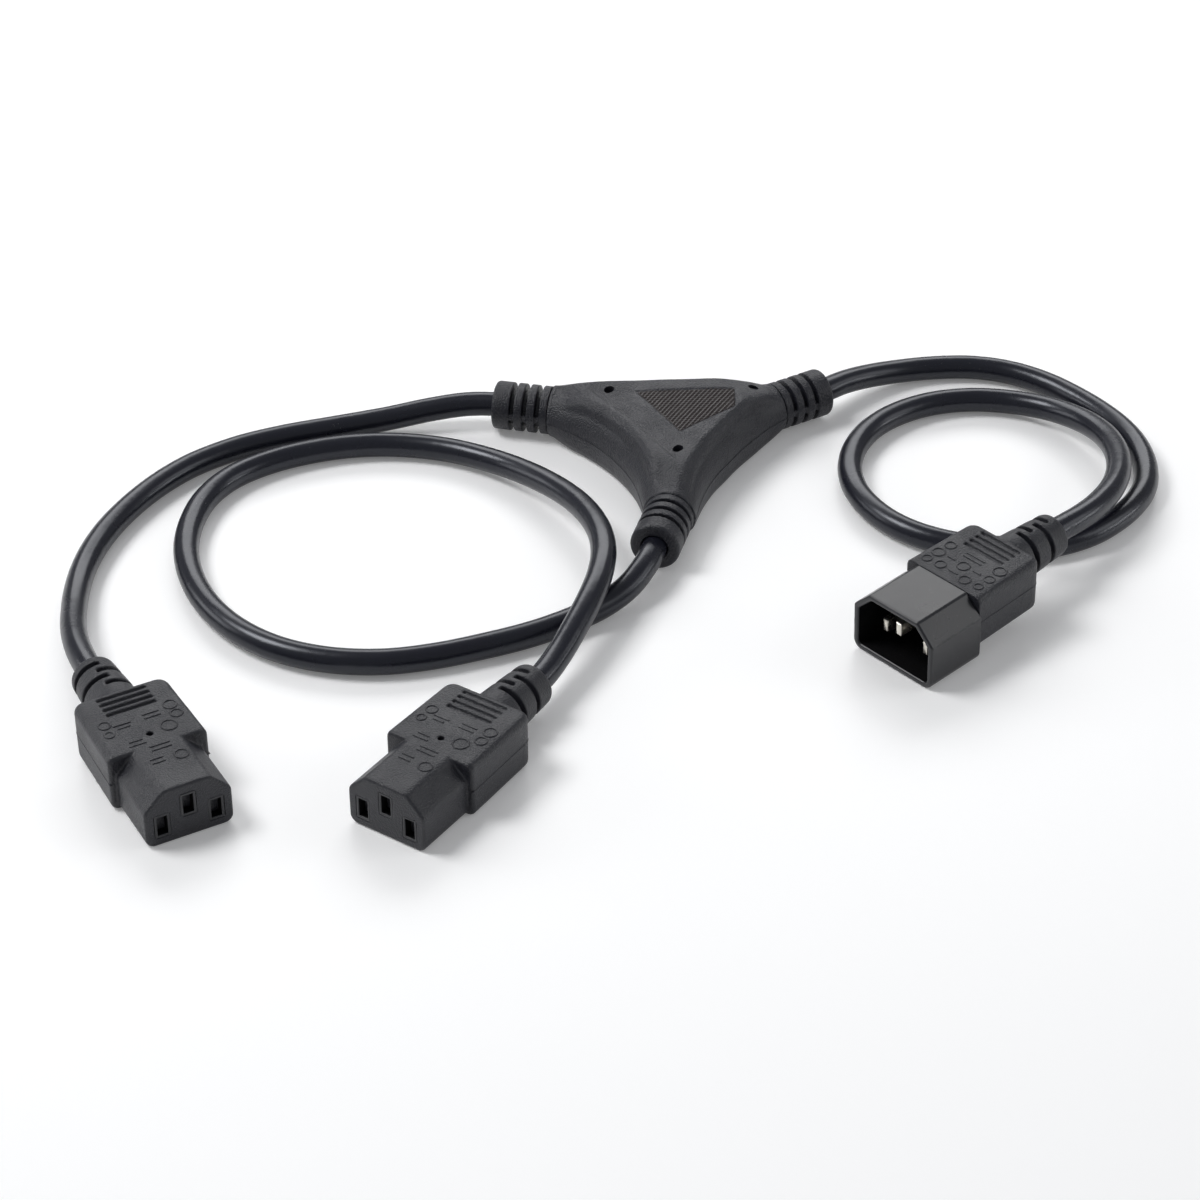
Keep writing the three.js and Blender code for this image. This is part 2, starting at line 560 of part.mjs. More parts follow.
function plugShroud() {
  const outer = prismY(faceSection(SHROUD_W, SHROUD_H, SHROUD_CH, 2.0), 0, SHROUD_L);
  const boss = block(-10.2, 10.2, SHROUD_L - 1, BOSS_END, 5.2, 15.0);
  const cavity = faceSection(SHROUD_W - 2 * SHROUD_WALL, SHROUD_H - 2 * SHROUD_WALL, SHROUD_CH - 0.9, 1.2, SHROUD_WALL);
  const holes = slotCentres(PLUG_PIN_Z).map(([x, z]) => {
    const [x0, x1, z0, z1] = pinSection(x, z, GAP);
    return block(x0, x1, CAVITY_DEPTH - 1, BOSS_END + 1, z0, z1);
  });
  return cut(joined([outer, boss]), [prismY(cavity, -1, CAVITY_DEPTH), ...holes]);
}

// Flat pin with a chamfered tip and a crimp barrel behind the shroud
function plugPin(x, z, tipY) {
  const [x0, x1, z0, z1] = pinSection(x, z, 0);
  const c = 0.55;
  const bar = prismY([[x0, z0], [x1, z0], [x1, z1], [x0, z1]], tipY + 1, BOSS_END + 0.8);
  const tip = new THREE.BufferGeometry();
  const v = [];
  for (const [y, k] of [[tipY, c], [tipY + 1.2, 0]]) {
    v.push(x0 + k, y, z0 + k, x1 - k, y, z0 + k, x1 - k, y, z1 - k, x0 + k, y, z1 - k);
  }
  tip.setAttribute('position', new THREE.Float32BufferAttribute(v, 3));
  tip.setIndex([0, 1, 2, 0, 2, 3, 4, 6, 5, 4, 7, 6, 0, 5, 1, 0, 4, 5, 1, 6, 2, 1, 5, 6, 2, 7, 3, 2, 6, 7, 3, 4, 0, 3, 7, 4]);
  return joined([bar, solid(tip), rodY(1.5, BOSS_END + 0.4, PIN_END, 10, x, z)]);
}

addPiece('plug_body', plugBody(), 'grip', PLUG);
addPiece('plug_shroud', plugShroud(), 'hard', PLUG);
[['line', 4.8], ['earth', 2.1], ['neutral', 4.8]].forEach(([name, tipY], i) => {
  const [x, z] = slotCentres(PLUG_PIN_Z)[i];
  addPiece(`plug_${name}_pin`, plugPin(x, z, tipY), 'nickel', PLUG);
});
leadWires('plug', PLUG_PIN_Z, PLUG_TAIL_Z, PIN_END + GAP, JACKET_Y - GAP, PLUG);

// Cords

addPiece('supply_cord', tube(SUPPLY_ROUTE, CORD_R, 76, 10), 'cord');
addPiece('outlet_a_cord', tube(OUTLET_A_ROUTE, CORD_R, 46, 10), 'cord');
addPiece('outlet_b_cord', tube(OUTLET_B_ROUTE, CORD_R, 76, 10), 'cord');

export default group;
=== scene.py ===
import math

import bmesh
import bpy
from mathutils import Matrix, Vector


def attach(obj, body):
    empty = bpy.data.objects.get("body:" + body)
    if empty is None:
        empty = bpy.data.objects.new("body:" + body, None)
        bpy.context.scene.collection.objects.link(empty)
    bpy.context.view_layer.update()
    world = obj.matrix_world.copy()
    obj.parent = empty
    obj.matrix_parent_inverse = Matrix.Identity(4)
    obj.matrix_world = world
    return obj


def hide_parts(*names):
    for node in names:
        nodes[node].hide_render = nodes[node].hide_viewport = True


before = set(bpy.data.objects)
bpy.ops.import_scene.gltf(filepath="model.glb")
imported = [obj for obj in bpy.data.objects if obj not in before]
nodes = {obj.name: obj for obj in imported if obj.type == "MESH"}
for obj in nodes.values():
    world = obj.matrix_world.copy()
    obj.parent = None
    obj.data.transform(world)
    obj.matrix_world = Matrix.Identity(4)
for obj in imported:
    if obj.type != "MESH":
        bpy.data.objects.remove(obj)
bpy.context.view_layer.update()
bpy.ops.object.select_all(action="DESELECT")

# Photo table: a white sheet that runs past every edge of the view, in an even white room. A soft box
# at the upper left and a wide one behind light the cord set, and three weak ones lift its sides.
MM = 0.001
TABLE_SIZE = 7.0
TABLE_DROP = 0.00006
TABLE_LIFT = 0.13
ROOM_LIGHT = 0.26
LAMPS = [
    # name, place, aim, size, power
    ("key_box", (-0.75, 0.52, 1.25), (-0.03, -0.02, 0), (0.55, 0.55), 12.0),
    ("back_box", (0.7, 1.22, 1.0), (0.0, 0.0, 0), (1.6, 0.7), 12.0),
    ("side_box", (1.1, -0.8, 0.8), (0.0, 0.0, 0), (0.9, 0.5), 2.4),
    ("left_box", (-1.05, 0.85, 0.42), (-0.1, -0.05, 0), (0.7, 0.4), 2.6),
    ("edge_strip", (1.25, -0.85, 0.3), (0.0, -0.1, 0), (0.8, 0.09), 2.2),
]

bpy.ops.mesh.primitive_plane_add(size=TABLE_SIZE, location=(0, 0, -TABLE_DROP))
table = bpy.context.active_object
table.name = "photo_table"
paper = bpy.data.materials.new("white_table")
paper.use_nodes = True
paper_skin = paper.node_tree.nodes["Principled BSDF"]
paper_skin.inputs["Base Color"].default_value = (0.93, 0.93, 0.935, 1)
paper_skin.inputs["Roughness"].default_value = 0.32
paper_skin.inputs["Specular IOR Level"].default_value = 0.22
paper_skin.inputs["Emission Color"].default_value = (1, 1, 1, 1)
looking = paper.node_tree.nodes.new("ShaderNodeLightPath")
seen = looking.outputs["Is Camera Ray"]
for kind in ("Is Glossy Ray", "Is Transmission Ray"):
    both = paper.node_tree.nodes.new("ShaderNodeMath")
    paper.node_tree.links.new(seen, both.inputs[0])
    paper.node_tree.links.new(looking.outputs[kind], both.inputs[1])
    seen = both.outputs[0]
lift = paper.node_tree.nodes.new("ShaderNodeMath")
lift.operation = "MULTIPLY"
lift.inputs[1].default_value = TABLE_LIFT
paper.node_tree.links.new(seen, lift.inputs[0])
paper.node_tree.links.new(lift.outputs[0], paper_skin.inputs["Emission Strength"])
table.data.materials.append(paper)

world = bpy.data.worlds.new("white_room")
bpy.context.scene.world = world
world.use_nodes = True
room = world.node_tree.nodes["Background"]
room.inputs["Color"].default_value = (0.95, 0.97, 1.0, 1)
room.inputs["Strength"].default_value = ROOM_LIGHT

for name, place, aim, size, power in LAMPS:
    lamp = bpy.data.lights.new(name, "AREA")
    lamp.shape = "RECTANGLE"
    lamp.size, lamp.size_y = size
    lamp.energy = power
    lamp_object = bpy.data.objects.new(name, lamp)
    bpy.context.scene.collection.objects.link(lamp_object)
    lamp_object.location = place
    toward = Vector(aim) - Vector(place)
    lamp_object.rotation_euler = toward.to_track_quat("-Z", "Y").to_euler()

camera_data = bpy.data.cameras.new("photo_camera")
camera_data.sensor_width = 36
camera_data.lens = 93.19
camera = bpy.data.objects.new("photo_camera", camera_data)
bpy.context.scene.collection.objects.link(camera)
camera.location = (-0.4113, -0.6256, 0.47953)
camera.rotation_euler = (math.radians(54.685), 0, math.radians(-31.3))
bpy.context.scene.camera = camera
bpy.context.scene.view_settings.view_transform = "Standard"

# Cords: three-core cord 7 mm across with a smooth black jacket. Each is one length that is moulded
# into the block at one end and into its connector at the other, and lies loose on the table.
CORD_D = 0.007
ROUTES = {
    "outlet_a_cord": [
        (-19.4, 23.7, 7.4), (-27.9, 31.7, 7.4), (-39.9, 43.0, 7.4), (-47.0, 48.0, 7.0), (-56.0, 52.3, 5.9),
        (-68.5, 57.0, 4.2), (-83.3, 61.3, 3.6), (-97.0, 64.4, 3.6), (-111.2, 66.0, 3.6),
        (-125.0, 64.8, 3.6), (-134.0, 62.2, 3.6), (-143.0, 58.2, 3.6), (-151.8, 53.0, 3.6),
        (-160.2, 46.8, 3.6), (-167.6, 39.8, 3.6), (-174.2, 31.8, 3.6), (-179.6, 23.2, 4.0),
        (-184.2, 14.2, 4.8), (-188.0, 5.2, 6.0), (-190.8, -4.2, 7.2), (-192.4, -14.4, 7.9),
        (-192.9, -24.0, 7.9), (-193.6, -43.6, 7.9),
    ],
    "outlet_b_cord": [
        (-19.4, -23.7, 7.4), (-27.9, -31.7, 7.4), (-39.9, -43.0, 7.4), (-46.4, -48.3, 6.8),
        (-54.0, -52.2, 5.2), (-62.8, -54.3, 3.9), (-72.8, -55.4, 3.6), (-86.0, -55.4, 3.6),
        (-100.0, -53.4, 3.6), (-112.5, -50.6, 3.6), (-124.5, -46.0, 3.6), (-136.0, -38.0, 3.6),
        (-144.8, -27.4, 3.6), (-150.2, -14.6, 3.6), (-152.0, -0.4, 3.6), (-150.2, 14.4, 3.6),
        (-145.4, 28.0, 3.6), (-138.0, 39.4, 3.6), (-129.6, 47.6, 3.6), (-119.6, 52.8, 3.6),
        (-108.6, 54.6, 3.6), (-96.6, 53.8, 3.6), (-83.6, 50.2, 3.6), (-71.6, 43.6, 3.6), (-60.4, 33.0, 3.8),
        (-51.8, 17.2, 4.8), (-47.8, 0.2, 6.8), (-47.6, -16.6, 9.2), (-50.8, -31.6, 11.2),
        (-55.6, -42.4, 12.0), (-62.6, -52.0, 12.2), (-71.0, -60.2, 11.6), (-79.4, -66.9, 10.2),
        (-87.6, -72.8, 8.6), (-95.4, -77.8, 7.9), (-104.5, -82.0, 7.9), (-121.7, -89.9, 7.9),
    ],
    "supply_cord": [
        (17.9, 0, 7.4), (30.0, 0, 7.4), (44.2, 0, 7.4), (53.4, 1.6, 6.8), (63.0, 2.6, 5.4),
        (73.8, 1.8, 4.1), (84.4, -1.4, 3.6), (94.0, -7.0, 3.6), (101.6, -15.0, 3.6), (106.8, -25.6, 3.6),
        (109.4, -37.0, 3.6), (110.4, -48.0, 3.6), (109.8, -58.4, 3.6), (107.0, -68.2, 3.6),
        (102.2, -77.0, 3.6), (95.6, -84.4, 3.6), (87.2, -89.6, 3.6), (77.6, -93.0, 3.6), (67.8, -94.6, 3.6),
        (57.6, -93.6, 3.6), (47.6, -90.0, 3.6), (38.6, -84.0, 3.6), (31.4, -76.2, 3.6), (26.4, -66.4, 3.6),
        (24.6, -55.4, 3.6), (26.0, -44.4, 3.6), (30.8, -34.0, 3.6), (38.8, -25.2, 3.6), (49.0, -19.2, 3.6),
        (60.4, -16.6, 3.6), (72.0, -17.4, 3.6), (82.8, -21.6, 3.6), (91.6, -29.0, 3.9), (97.4, -38.8, 5.0),
        (99.6, -50.6, 6.8), (98.2, -62.4, 8.8), (93.6, -73.4, 10.6), (86.4, -83.2, 12.0),
        (77.0, -91.2, 13.2), (66.6, -96.6, 14.0), (59.4, -99.0, 14.4), (52.3, -100.45, 14.48),
        (46.0, -101.7, 14.2), (25.6, -105.6, 13.1),
    ],
}


def smooth_route(points, steps):
    """Passes one smooth line through points given in millimetres."""
    p = [Vector(q) * MM for q in points]
    p = [2 * p[0] - p[1]] + p + [2 * p[-1] - p[-2]]
    line = []
    for i in range(1, len(p) - 2):
        a, b, c, d = p[i - 1:i + 3]
        t1 = (b - a).length ** 0.5
        t2 = t1 + (c - b).length ** 0.5
        t3 = t2 + (d - c).length ** 0.5
        for k in range(steps):
            t = t1 + (t2 - t1) * k / steps
            ab = a.lerp(b, t / t1)
            bc = b.lerp(c, (t - t1) / (t2 - t1))
            cd = c.lerp(d, (t - t2) / (t3 - t2))
            abc = ab.lerp(bc, t / t2)
            bcd = bc.lerp(cd, (t - t1) / (t3 - t1))
            line.append(abc.lerp(bcd, (t - t1) / (t2 - t1)))
    return line + [p[-2]]


def new_group(name, inputs, outputs):
    """Starts a shader node group with named inputs and outputs."""
    group = bpy.data.node_groups.new(name, "ShaderNodeTree")
    for label, kind, value in inputs:
        socket = group.interface.new_socket(label, in_out="INPUT", socket_type=kind)
        if value is not None:
            socket.default_value = value
    for label, kind in outputs:
        group.interface.new_socket(label, in_out="OUTPUT", socket_type=kind)
    ends = [group.nodes.new("NodeGroupInput"), group.nodes.new("NodeGroupOutput")]
    return group, ends[0].outputs, ends[1].inputs


def add_node(tree, kind, wires=(), **settings):
    """Adds a node, sets its properties and feeds its inputs from sockets or plain values."""
    node = tree.nodes.new(kind)
    for key, value in settings.items():
        setattr(node, key, value)
    for slot, source in dict(wires).items():
        if isinstance(source, bpy.types.NodeSocket):
            tree.links.new(source, node.inputs[slot])
        else:
            node.inputs[slot].default_value = source
    return node


# Handling marks on plastic: faint smears that shift the gloss, and specks of dust
handled, given, out = new_group(
    "handled_plastic",
    [("Place", "NodeSocketVector", None), ("Colour", "NodeSocketColor", (0.02, 0.02, 0.02, 1)),
     ("Gloss Low", "NodeSocketFloat", 0.3), ("Gloss High", "NodeSocketFloat", 0.4),
     ("Smear Size", "NodeSocketFloat", 60.0), ("Dust", "NodeSocketFloat", 0.2)],
    [("Colour", "NodeSocketColor"), ("Roughness", "NodeSocketFloat")],
)
smear = add_node(handled, "ShaderNodeTexNoise", {
    "Vector": given["Place"], "Scale": given["Smear Size"], "Detail": 4.0})
gloss = add_node(handled, "ShaderNodeMapRange", {
    "Value": smear.outputs["Fac"], "From Min": 0.25, "From Max": 0.75,
    "To Min": given["Gloss Low"], "To Max": given["Gloss High"]})
speck = add_node(handled, "ShaderNodeTexVoronoi", {"Vector": given["Place"], "Scale": 900.0})
dust_dot = add_node(handled, "ShaderNodeMapRange", {
    "Value": speck.outputs["Distance"], "From Min": 0.06, "From Max": 0.13,
    "To Min": given["Dust"], "To Max": 0.0})
few = add_node(handled, "ShaderNodeTexNoise", {"Vector": given["Place"], "Scale": 210.0})
dust_area = add_node(handled, "ShaderNodeMapRange", {
    "Value": few.outputs["Fac"], "From Min": 0.56, "From Max": 0.66})
dust = add_node(handled, "ShaderNodeMath", {0: dust_dot.outputs[0], 1: dust_area.outputs[0]},
                operation="MULTIPLY")
tinted = add_node(handled, "ShaderNodeMix", {
    "Factor": dust.outputs[0], 6: given["Colour"], 7: (0.42, 0.41, 0.4, 1)}, data_type="RGBA")
handled.links.new(tinted.outputs[2], out["Colour"])
handled.links.new(gloss.outputs[0], out["Roughness"])


def add_bump(tree, skin, height, strength, distance):
    """Feeds a skin's normal from a height."""
    bump = add_node(tree, "ShaderNodeBump", {"Strength": strength, "Distance": distance, "Height": height})
    tree.links.new(bump.outputs["Normal"], skin.inputs["Normal"])


def plastic(name, colour, gloss_low, gloss_high, smear_size=60.0, dust_amount=0.2):
    """Material with the handling marks in place; returns it with its tree, skin and place sockets."""
    material = bpy.data.materials.new(name)
    material.use_nodes = True
    tree = material.node_tree
    skin = tree.nodes["Principled BSDF"]
    place = add_node(tree, "ShaderNodeTexCoord").outputs["Object"]
    marks = add_node(tree, "ShaderNodeGroup", node_tree=handled)
    tree.links.new(place, marks.inputs["Place"])
    for label, value in [("Colour", (*colour, 1)), ("Gloss Low", gloss_low), ("Gloss High", gloss_high),
                         ("Smear Size", smear_size), ("Dust", dust_amount)]:
        marks.inputs[label].default_value = value
    tree.links.new(marks.outputs["Colour"], skin.inputs["Base Color"])
    tree.links.new(marks.outputs["Roughness"], skin.inputs["Roughness"])
    return material, tree, skin, place


jacket, tree, skin, place = plastic("cord_jacket", (0.009, 0.0095, 0.0155), 0.24, 0.31, 45.0, 0.25)
skin.inputs["Specular Tint"].default_value = (0.9, 0.93, 1.0, 1)
ripple = add_node(tree, "ShaderNodeTexNoise", {"Vector": place, "Scale": 170.0, "Detail": 2.0})
grain = add_node(tree, "ShaderNodeTexNoise", {"Vector": place, "Scale": 2600.0, "Detail": 2.0})
relief = add_node(tree, "ShaderNodeMath", {0: grain.outputs["Fac"], 1: 0.06, 2: ripple.outputs["Fac"]},
                  operation="MULTIPLY_ADD")
add_bump(tree, skin, relief.outputs[0], 0.2, 0.0006)

for name, points in ROUTES.items():
    line = smooth_route(points, 9)
    data = bpy.data.curves.new(name + "_jacket", "CURVE")
    data.dimensions = "3D"
    data.bevel_depth = CORD_D / 2
    data.bevel_resolution = 8
    data.use_fill_caps = True
    spline = data.splines.new("POLY")
    spline.points.add(len(line) - 1)
    for knot, where in zip(spline.points, line):
        knot.co = (*where, 1)
    spline.use_smooth = True
    data.materials.append(jacket)
    cord = bpy.data.objects.new(name + "_jacket", data)
    bpy.context.scene.collection.objects.link(cord)
    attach(cord, "root")
    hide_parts(name)

# Cores, splices and tray: each cord's brown, blue and green-yellow cores end in crimped brass splices,
# which a tray of natural nylon keeps apart while the block is moulded round them.
CORE_COLOURS = {
    "line": ((0.13, 0.045, 0.018), (0.1, 0.034, 0.013)),
    "neutral": ((0.025, 0.1, 0.36), (0.018, 0.075, 0.28)),
    "earth": ((0.72, 0.6, 0.03), (0.04, 0.22, 0.04)),
}


def dress(words, material):
    """Gives every CAD node whose name has one of these words this material."""
    for name, node in nodes.items():
        if any(word in name for word in words):
            for part in node.material_slots:
                part.material = material


for core, (first, second) in CORE_COLOURS.items():
    material, tree, skin, place = plastic(core + "_insulation", first, 0.34, 0.44, 90.0, 0.15)
    marks = next(n for n in tree.nodes if n.type == "GROUP")
    if core == "earth":
        stripe = add_node(tree, "ShaderNodeTexWave", {"Vector": place, "Scale": 190.0, "Distortion": 0.6},
                          bands_direction="Z")
        share = add_node(tree, "ShaderNodeMapRange", {
            "Value": stripe.outputs["Fac"], "From Min": 0.45, "From Max": 0.55})
    else:
        drift = add_node(tree, "ShaderNodeTexNoise", {"Vector": place, "Scale": 260.0, "Detail": 3.0})
        share = add_node(tree, "ShaderNodeMapRange", {
            "Value": drift.outputs["Fac"], "From Min": 0.35, "From Max": 0.65})
    blend = add_node(tree, "ShaderNodeMix", {
        "Factor": share.outputs[0], 6: (*first, 1), 7: (*second, 1)}, data_type="RGBA")
    tree.links.new(blend.outputs[2], marks.inputs["Colour"])
    drag = add_node(tree, "ShaderNodeTexNoise", {"Vector": place, "Scale": 1900.0, "Detail": 2.0})
    add_bump(tree, skin, drag.outputs["Fac"], 0.2, 0.0001)
    dress([f"_{core}_wire"], material)

nylon, tree, skin, place = plastic("natural_nylon", (0.69, 0.66, 0.58), 0.36, 0.5, 80.0, 0.1)
skin.inputs["Subsurface Weight"].default_value = 0.2
skin.inputs["Subsurface Scale"].default_value = 0.001
flow = add_node(tree, "ShaderNodeTexNoise", {
    "Vector": place, "Scale": 240.0, "Detail": 4.0, "Distortion": 1.5})
add_bump(tree, skin, flow.outputs["Fac"], 0.25, 0.0002)
dress(["splice_tray"], nylon)


def metal(name, scale, detail, tints, gloss):
    """Metal whose tint and gloss drift together; returns it with its tree, skin and place sockets."""
    material = bpy.data.materials.new(name)
    material.use_nodes = True
    tree = material.node_tree
    skin = tree.nodes["Principled BSDF"]
    skin.inputs["Metallic"].default_value = 1.0
    place = add_node(tree, "ShaderNodeTexCoord").outputs["Object"]
    drift = add_node(tree, "ShaderNodeTexNoise", {"Vector": place, "Scale": scale, "Detail": detail})
    tint = add_node(tree, "ShaderNodeMix", {
        "Factor": drift.outputs["Fac"], 6: (*tints[0], 1), 7: (*tints[1], 1)}, data_type="RGBA")
    tree.links.new(tint.outputs[2], skin.inputs["Base Color"])
    dull = add_node(tree, "ShaderNodeMapRange", {
        "Value": drift.outputs["Fac"], "To Min": gloss[0], "To Max": gloss[1]})
    tree.links.new(dull.outputs[0], skin.inputs["Roughness"])
    return material, tree, skin, place


brass, tree, skin, place = metal("bare_brass", 330.0, 5.0, ((0.66, 0.44, 0.14), (0.4, 0.24, 0.07)),
                                 (0.2, 0.5))
rolled = add_node(tree, "ShaderNodeTexNoise", {"Vector": place, "Scale": 2400.0, "Detail": 2.0})
add_bump(tree, skin, rolled.outputs["Fac"], 0.2, 0.00006)
dress(["splice_line", "splice_neutral", "splice_earth", "_contact"], brass)

# Splitter block body: the splices and cord ends lie in a mould, and flexible black plastic is shot
# round them. It has a leathery skin, a parting line half way up and three core pin holes on top.
AXIS_Z = 7.4
TOP_Z = 19.0
ARM_TOP_Z = 14.4
ARM_TURN = math.radians(136.85)
DIP_REACH = (3.6, 5.2, 5.2)
SIDE = [(27.7, 7.1), (20.5, 8.9), (13.1, 11.8), (6.5, 14.8), (0.4, 18.2), (-5, 21.2), (-9.8, 24.5),
        (-15, 28.8), (-19.2, 33.0), (-22.8, 37.1)]
BACK = [(-33.0, 26.3), (-30.6, 20.5), (-28.5, 14.5), (-27.1, 7.4), (-26.6, 0)]
ARMS = [((27.7, 0), 0.0), ((-27.9, 31.7), ARM_TURN), ((-27.9, -31.7), -ARM_TURN)]
CORE_PIN_HOLES = [(20.3, 0), (-16.8, 18.2), (-16.8, -18.2)]
PATCH_RECESS = 0.55
BLOCK_VOXEL = 0.32
GRIP_PATCH = [(-11.4, 12.7), (13.9, -0.3), (8.8, -8.4), (-12.1, -11.8)]
# Rings of the moulding from the table up: a height, a share of the way from the parting plane to the
# top, or a depth below the top; then the inset there, and the angle round an arm's end
SECTION = [
    ("height", 0.0, 2.6, -78), ("height", 0.7, 1.1, -56), ("height", 2.6, 0.3, -30),
    ("height", 5.0, 0.06, -14),
    ("share", 0.0, 0.0, 0), ("share", 0.2, 0.3, 10), ("share", 0.36, 0.8, 19), ("share", 0.5, 1.5, 28),
    ("share", 0.59, 2.2, 35), ("share", 0.66, 2.5, 40), ("below", 2.5, 2.6, 49), ("below", 1.6, 2.95, 57),
    ("below", 0.9, 3.5, 64), ("below", 0.4, 4.3, 71), ("below", 0.12, 5.2, 77), ("below", 0.03, 6.2, 80),
]


def work_on(piece):
    """Makes one piece the only selected one, and the active one."""
    bpy.ops.object.select_all(action="DESELECT")
    piece.select_set(True)
    bpy.context.view_layer.objects.active = piece


def pull_rings(name, rings):
    """Adds a filled circle, lays it on the first outline and extrudes it through the others."""
    bpy.ops.object.select_all(action="DESELECT")
    bpy.ops.mesh.primitive_circle_add(vertices=len(rings[0]), radius=MM, fill_type="NGON")
    piece = bpy.context.active_object
    piece.name = name
    for corner, where in zip(piece.data.vertices, rings[0]):
        corner.co = Vector(where) * MM
    bpy.ops.object.mode_set(mode="EDIT")
    bpy.ops.mesh.select_all(action="SELECT")
    turn_of = {i: i for i in range(len(rings[0]))}
    for ring in rings[1:]:
        bpy.ops.mesh.extrude_region_move()
        bm = bmesh.from_edit_mesh(piece.data)
        bm.verts.index_update()
        fresh = {}
        for corner in [v for v in bm.verts if v.select]:
            below = next(e.other_vert(corner) for e in corner.link_edges if not e.other_vert(corner).select)
            fresh[corner.index] = turn_of[below.index]
            corner.co = Vector(ring[fresh[corner.index]]) * MM
        turn_of = fresh
        bmesh.update_edit_mesh(piece.data)
    bpy.ops.mesh.select_all(action="SELECT")
    bpy.ops.mesh.normals_make_consistent(inside=False)
    bpy.ops.object.mode_set(mode="OBJECT")
    return piece


def apply_modifier(piece, kind, **settings):
    """Adds a modifier with these settings and applies it."""
    work_on(piece)
    step = piece.modifiers.new("step", kind)
    for key, value in settings.items():
        setattr(step, key, value)
    bpy.ops.object.modifier_apply(modifier=step.name)


def cut_away(piece, cutters):
    """Cuts closed shapes out of a piece and removes them."""
    for cutter in cutters:
        apply_modifier(piece, "BOOLEAN", object=cutter, operation="DIFFERENCE", solver="EXACT")
        bpy.data.objects.remove(cutter)


def mould(piece, voxel, passes):
    """Melts overlapping shells into one skin and softens its edges, as a mould does."""
    apply_modifier(piece, "REMESH", mode="VOXEL", voxel_size=voxel * MM, use_smooth_shade=True)
    if passes:
        apply_modifier(piece, "SMOOTH", factor=0.5, iterations=passes)
    work_on(piece)
    bpy.ops.object.shade_smooth()


def join_into(piece, others):
    """Joins other pieces into this one."""
    bpy.ops.object.select_all(action="DESELECT")
    for other in others:
        other.select_set(True)
    piece.select_set(True)
    bpy.context.view_layer.objects.active = piece
    bpy.ops.object.join()


def rod(x, y, z0, z1, radius, sides=32):
    """Upright rod, in millimetres."""
    bpy.ops.mesh.primitive_cylinder_add(vertices=sides, radius=radius * MM, depth=(z1 - z0) * MM,
                                        location=(x * MM, y * MM, (z0 + z1) / 2 * MM))
    bpy.ops.object.transform_apply(location=True, rotation=True, scale=True)
    return bpy.context.active_object


def settle(piece):
    """Puts the piece's place, turn and scale into its mesh."""
    work_on(piece)
    bpy.ops.object.transform_apply(location=True, rotation=True, scale=True)


def from_arm_ends(x, y):
    """Distances of a point from the three arm ends, measured along the arms."""
    found = []
    for (bx, by), turn in ARMS:
        dx, dy = math.cos(turn), math.sin(turn)
        along = (bx - x) * dx + (by - y) * dy
        aside = abs((bx - x) * dy - (by - y) * dx)
        found.append(max(along, 0) + max(aside - 9, 0))
    return found


def top_at(x, y):
    """Height of the slightly crowned top, which dips towards the three arms."""
    dip = sum(math.exp(-d / reach) for d, reach in zip(from_arm_ends(x, y), DIP_REACH))
    crown = TOP_Z - 0.5 * ((x + 5) ** 2 + y ** 2) / 23 ** 2
    return ARM_TOP_Z + (crown - ARM_TOP_Z) * (1 - min(dip, 1))


def in_patch(x, y, margin):
    """Whether a point lies inside the grip patch, by at least this margin."""
    for (ax, ay), (bx, by) in zip(GRIP_PATCH, GRIP_PATCH[1:] + GRIP_PATCH[:1]):
        across = Vector((by - ay, ax - bx)).normalized()
        if (x - ax) * across.x + (y - ay) * across.y < margin:
            return False
    return True


side_line = [(p.x / MM, p.y / MM) for p in smooth_route([(x, y, 0) for x, y in SIDE], 8)]
back_line = [(p.x / MM, p.y / MM) for p in smooth_route([(x, y, 0) for x, y in BACK], 8)]
half = side_line + back_line
outline = half + [(x, -y) for x, y in reversed(half[:-1])]
n_side, n_back = len(side_line), len(back_line) * 2 - 1
runs = [(0, n_side - 1), (n_side, n_side + n_back - 1), (n_side + n_back, len(outline) - 1)]
inward = []
for i, (x, y) in enumerate(outline):
    start, end = next(r for r in runs if r[0] <= i <= r[1])
    a, b = outline[max(i - 1, start)], outline[min(i + 1, end)]
    along = Vector((b[0] - a[0], b[1] - a[1])).normalized()
    inward.append((-along.y, along.x))
for i, arm, side in [(0, 0, -1), (n_side - 1, 1, 1), (n_side, 1, -1), (n_side + n_back - 1, 2, 1),
                     (n_side + n_back, 2, -1), (len(outline) - 1, 0, 1)]:
    turn = ARMS[arm][1]
    inward[i] = (-math.sin(turn) * side, math.cos(turn) * side)

rings = []
for measure, value, inset, angle in SECTION:
    ring = []
    for (x, y), (ix, iy) in zip(outline, inward):
        round_end = math.exp(-min(from_arm_ends(x, y)) / 5)
        a = math.radians(angle)
        top = top_at(x, y)
        plain_z = {"height": value, "share": AXIS_Z + value * (top - AXIS_Z), "below": top - value}[measure]
        z = round_end * (AXIS_Z + 7.0 * math.sin(a)) + (1 - round_end) * plain_z
        step = round_end * 7.1 * (1 - math.cos(a)) + (1 - round_end) * inset
        ring.append((x + ix * step, y + iy * step, max(z, 0)))
    rings.append(ring)
block = pull_rings("block_body", rings)
mould(block, BLOCK_VOXEL, 0)
for corner in block.data.vertices:
    x, y, z = corner.co / MM
    if z > top_at(x, y) - 0.9 and corner.normal.z > 0.7:
        fade = min(max((z - top_at(x, y) + 0.9) / 0.6, 0), 1)
        recess = PATCH_RECESS if in_patch(x, y, 0) else 0
        corner.co.z = (z + fade * (top_at(x, y) - 0.06 - recess - z)) * MM
apply_modifier(block, "SMOOTH", factor=0.5, iterations=7)
cut_away(block, [rod(x, y, top_at(x, y) - 2.6, top_at(x, y) + 4, 1.5, 40) for x, y in CORE_PIN_HOLES])
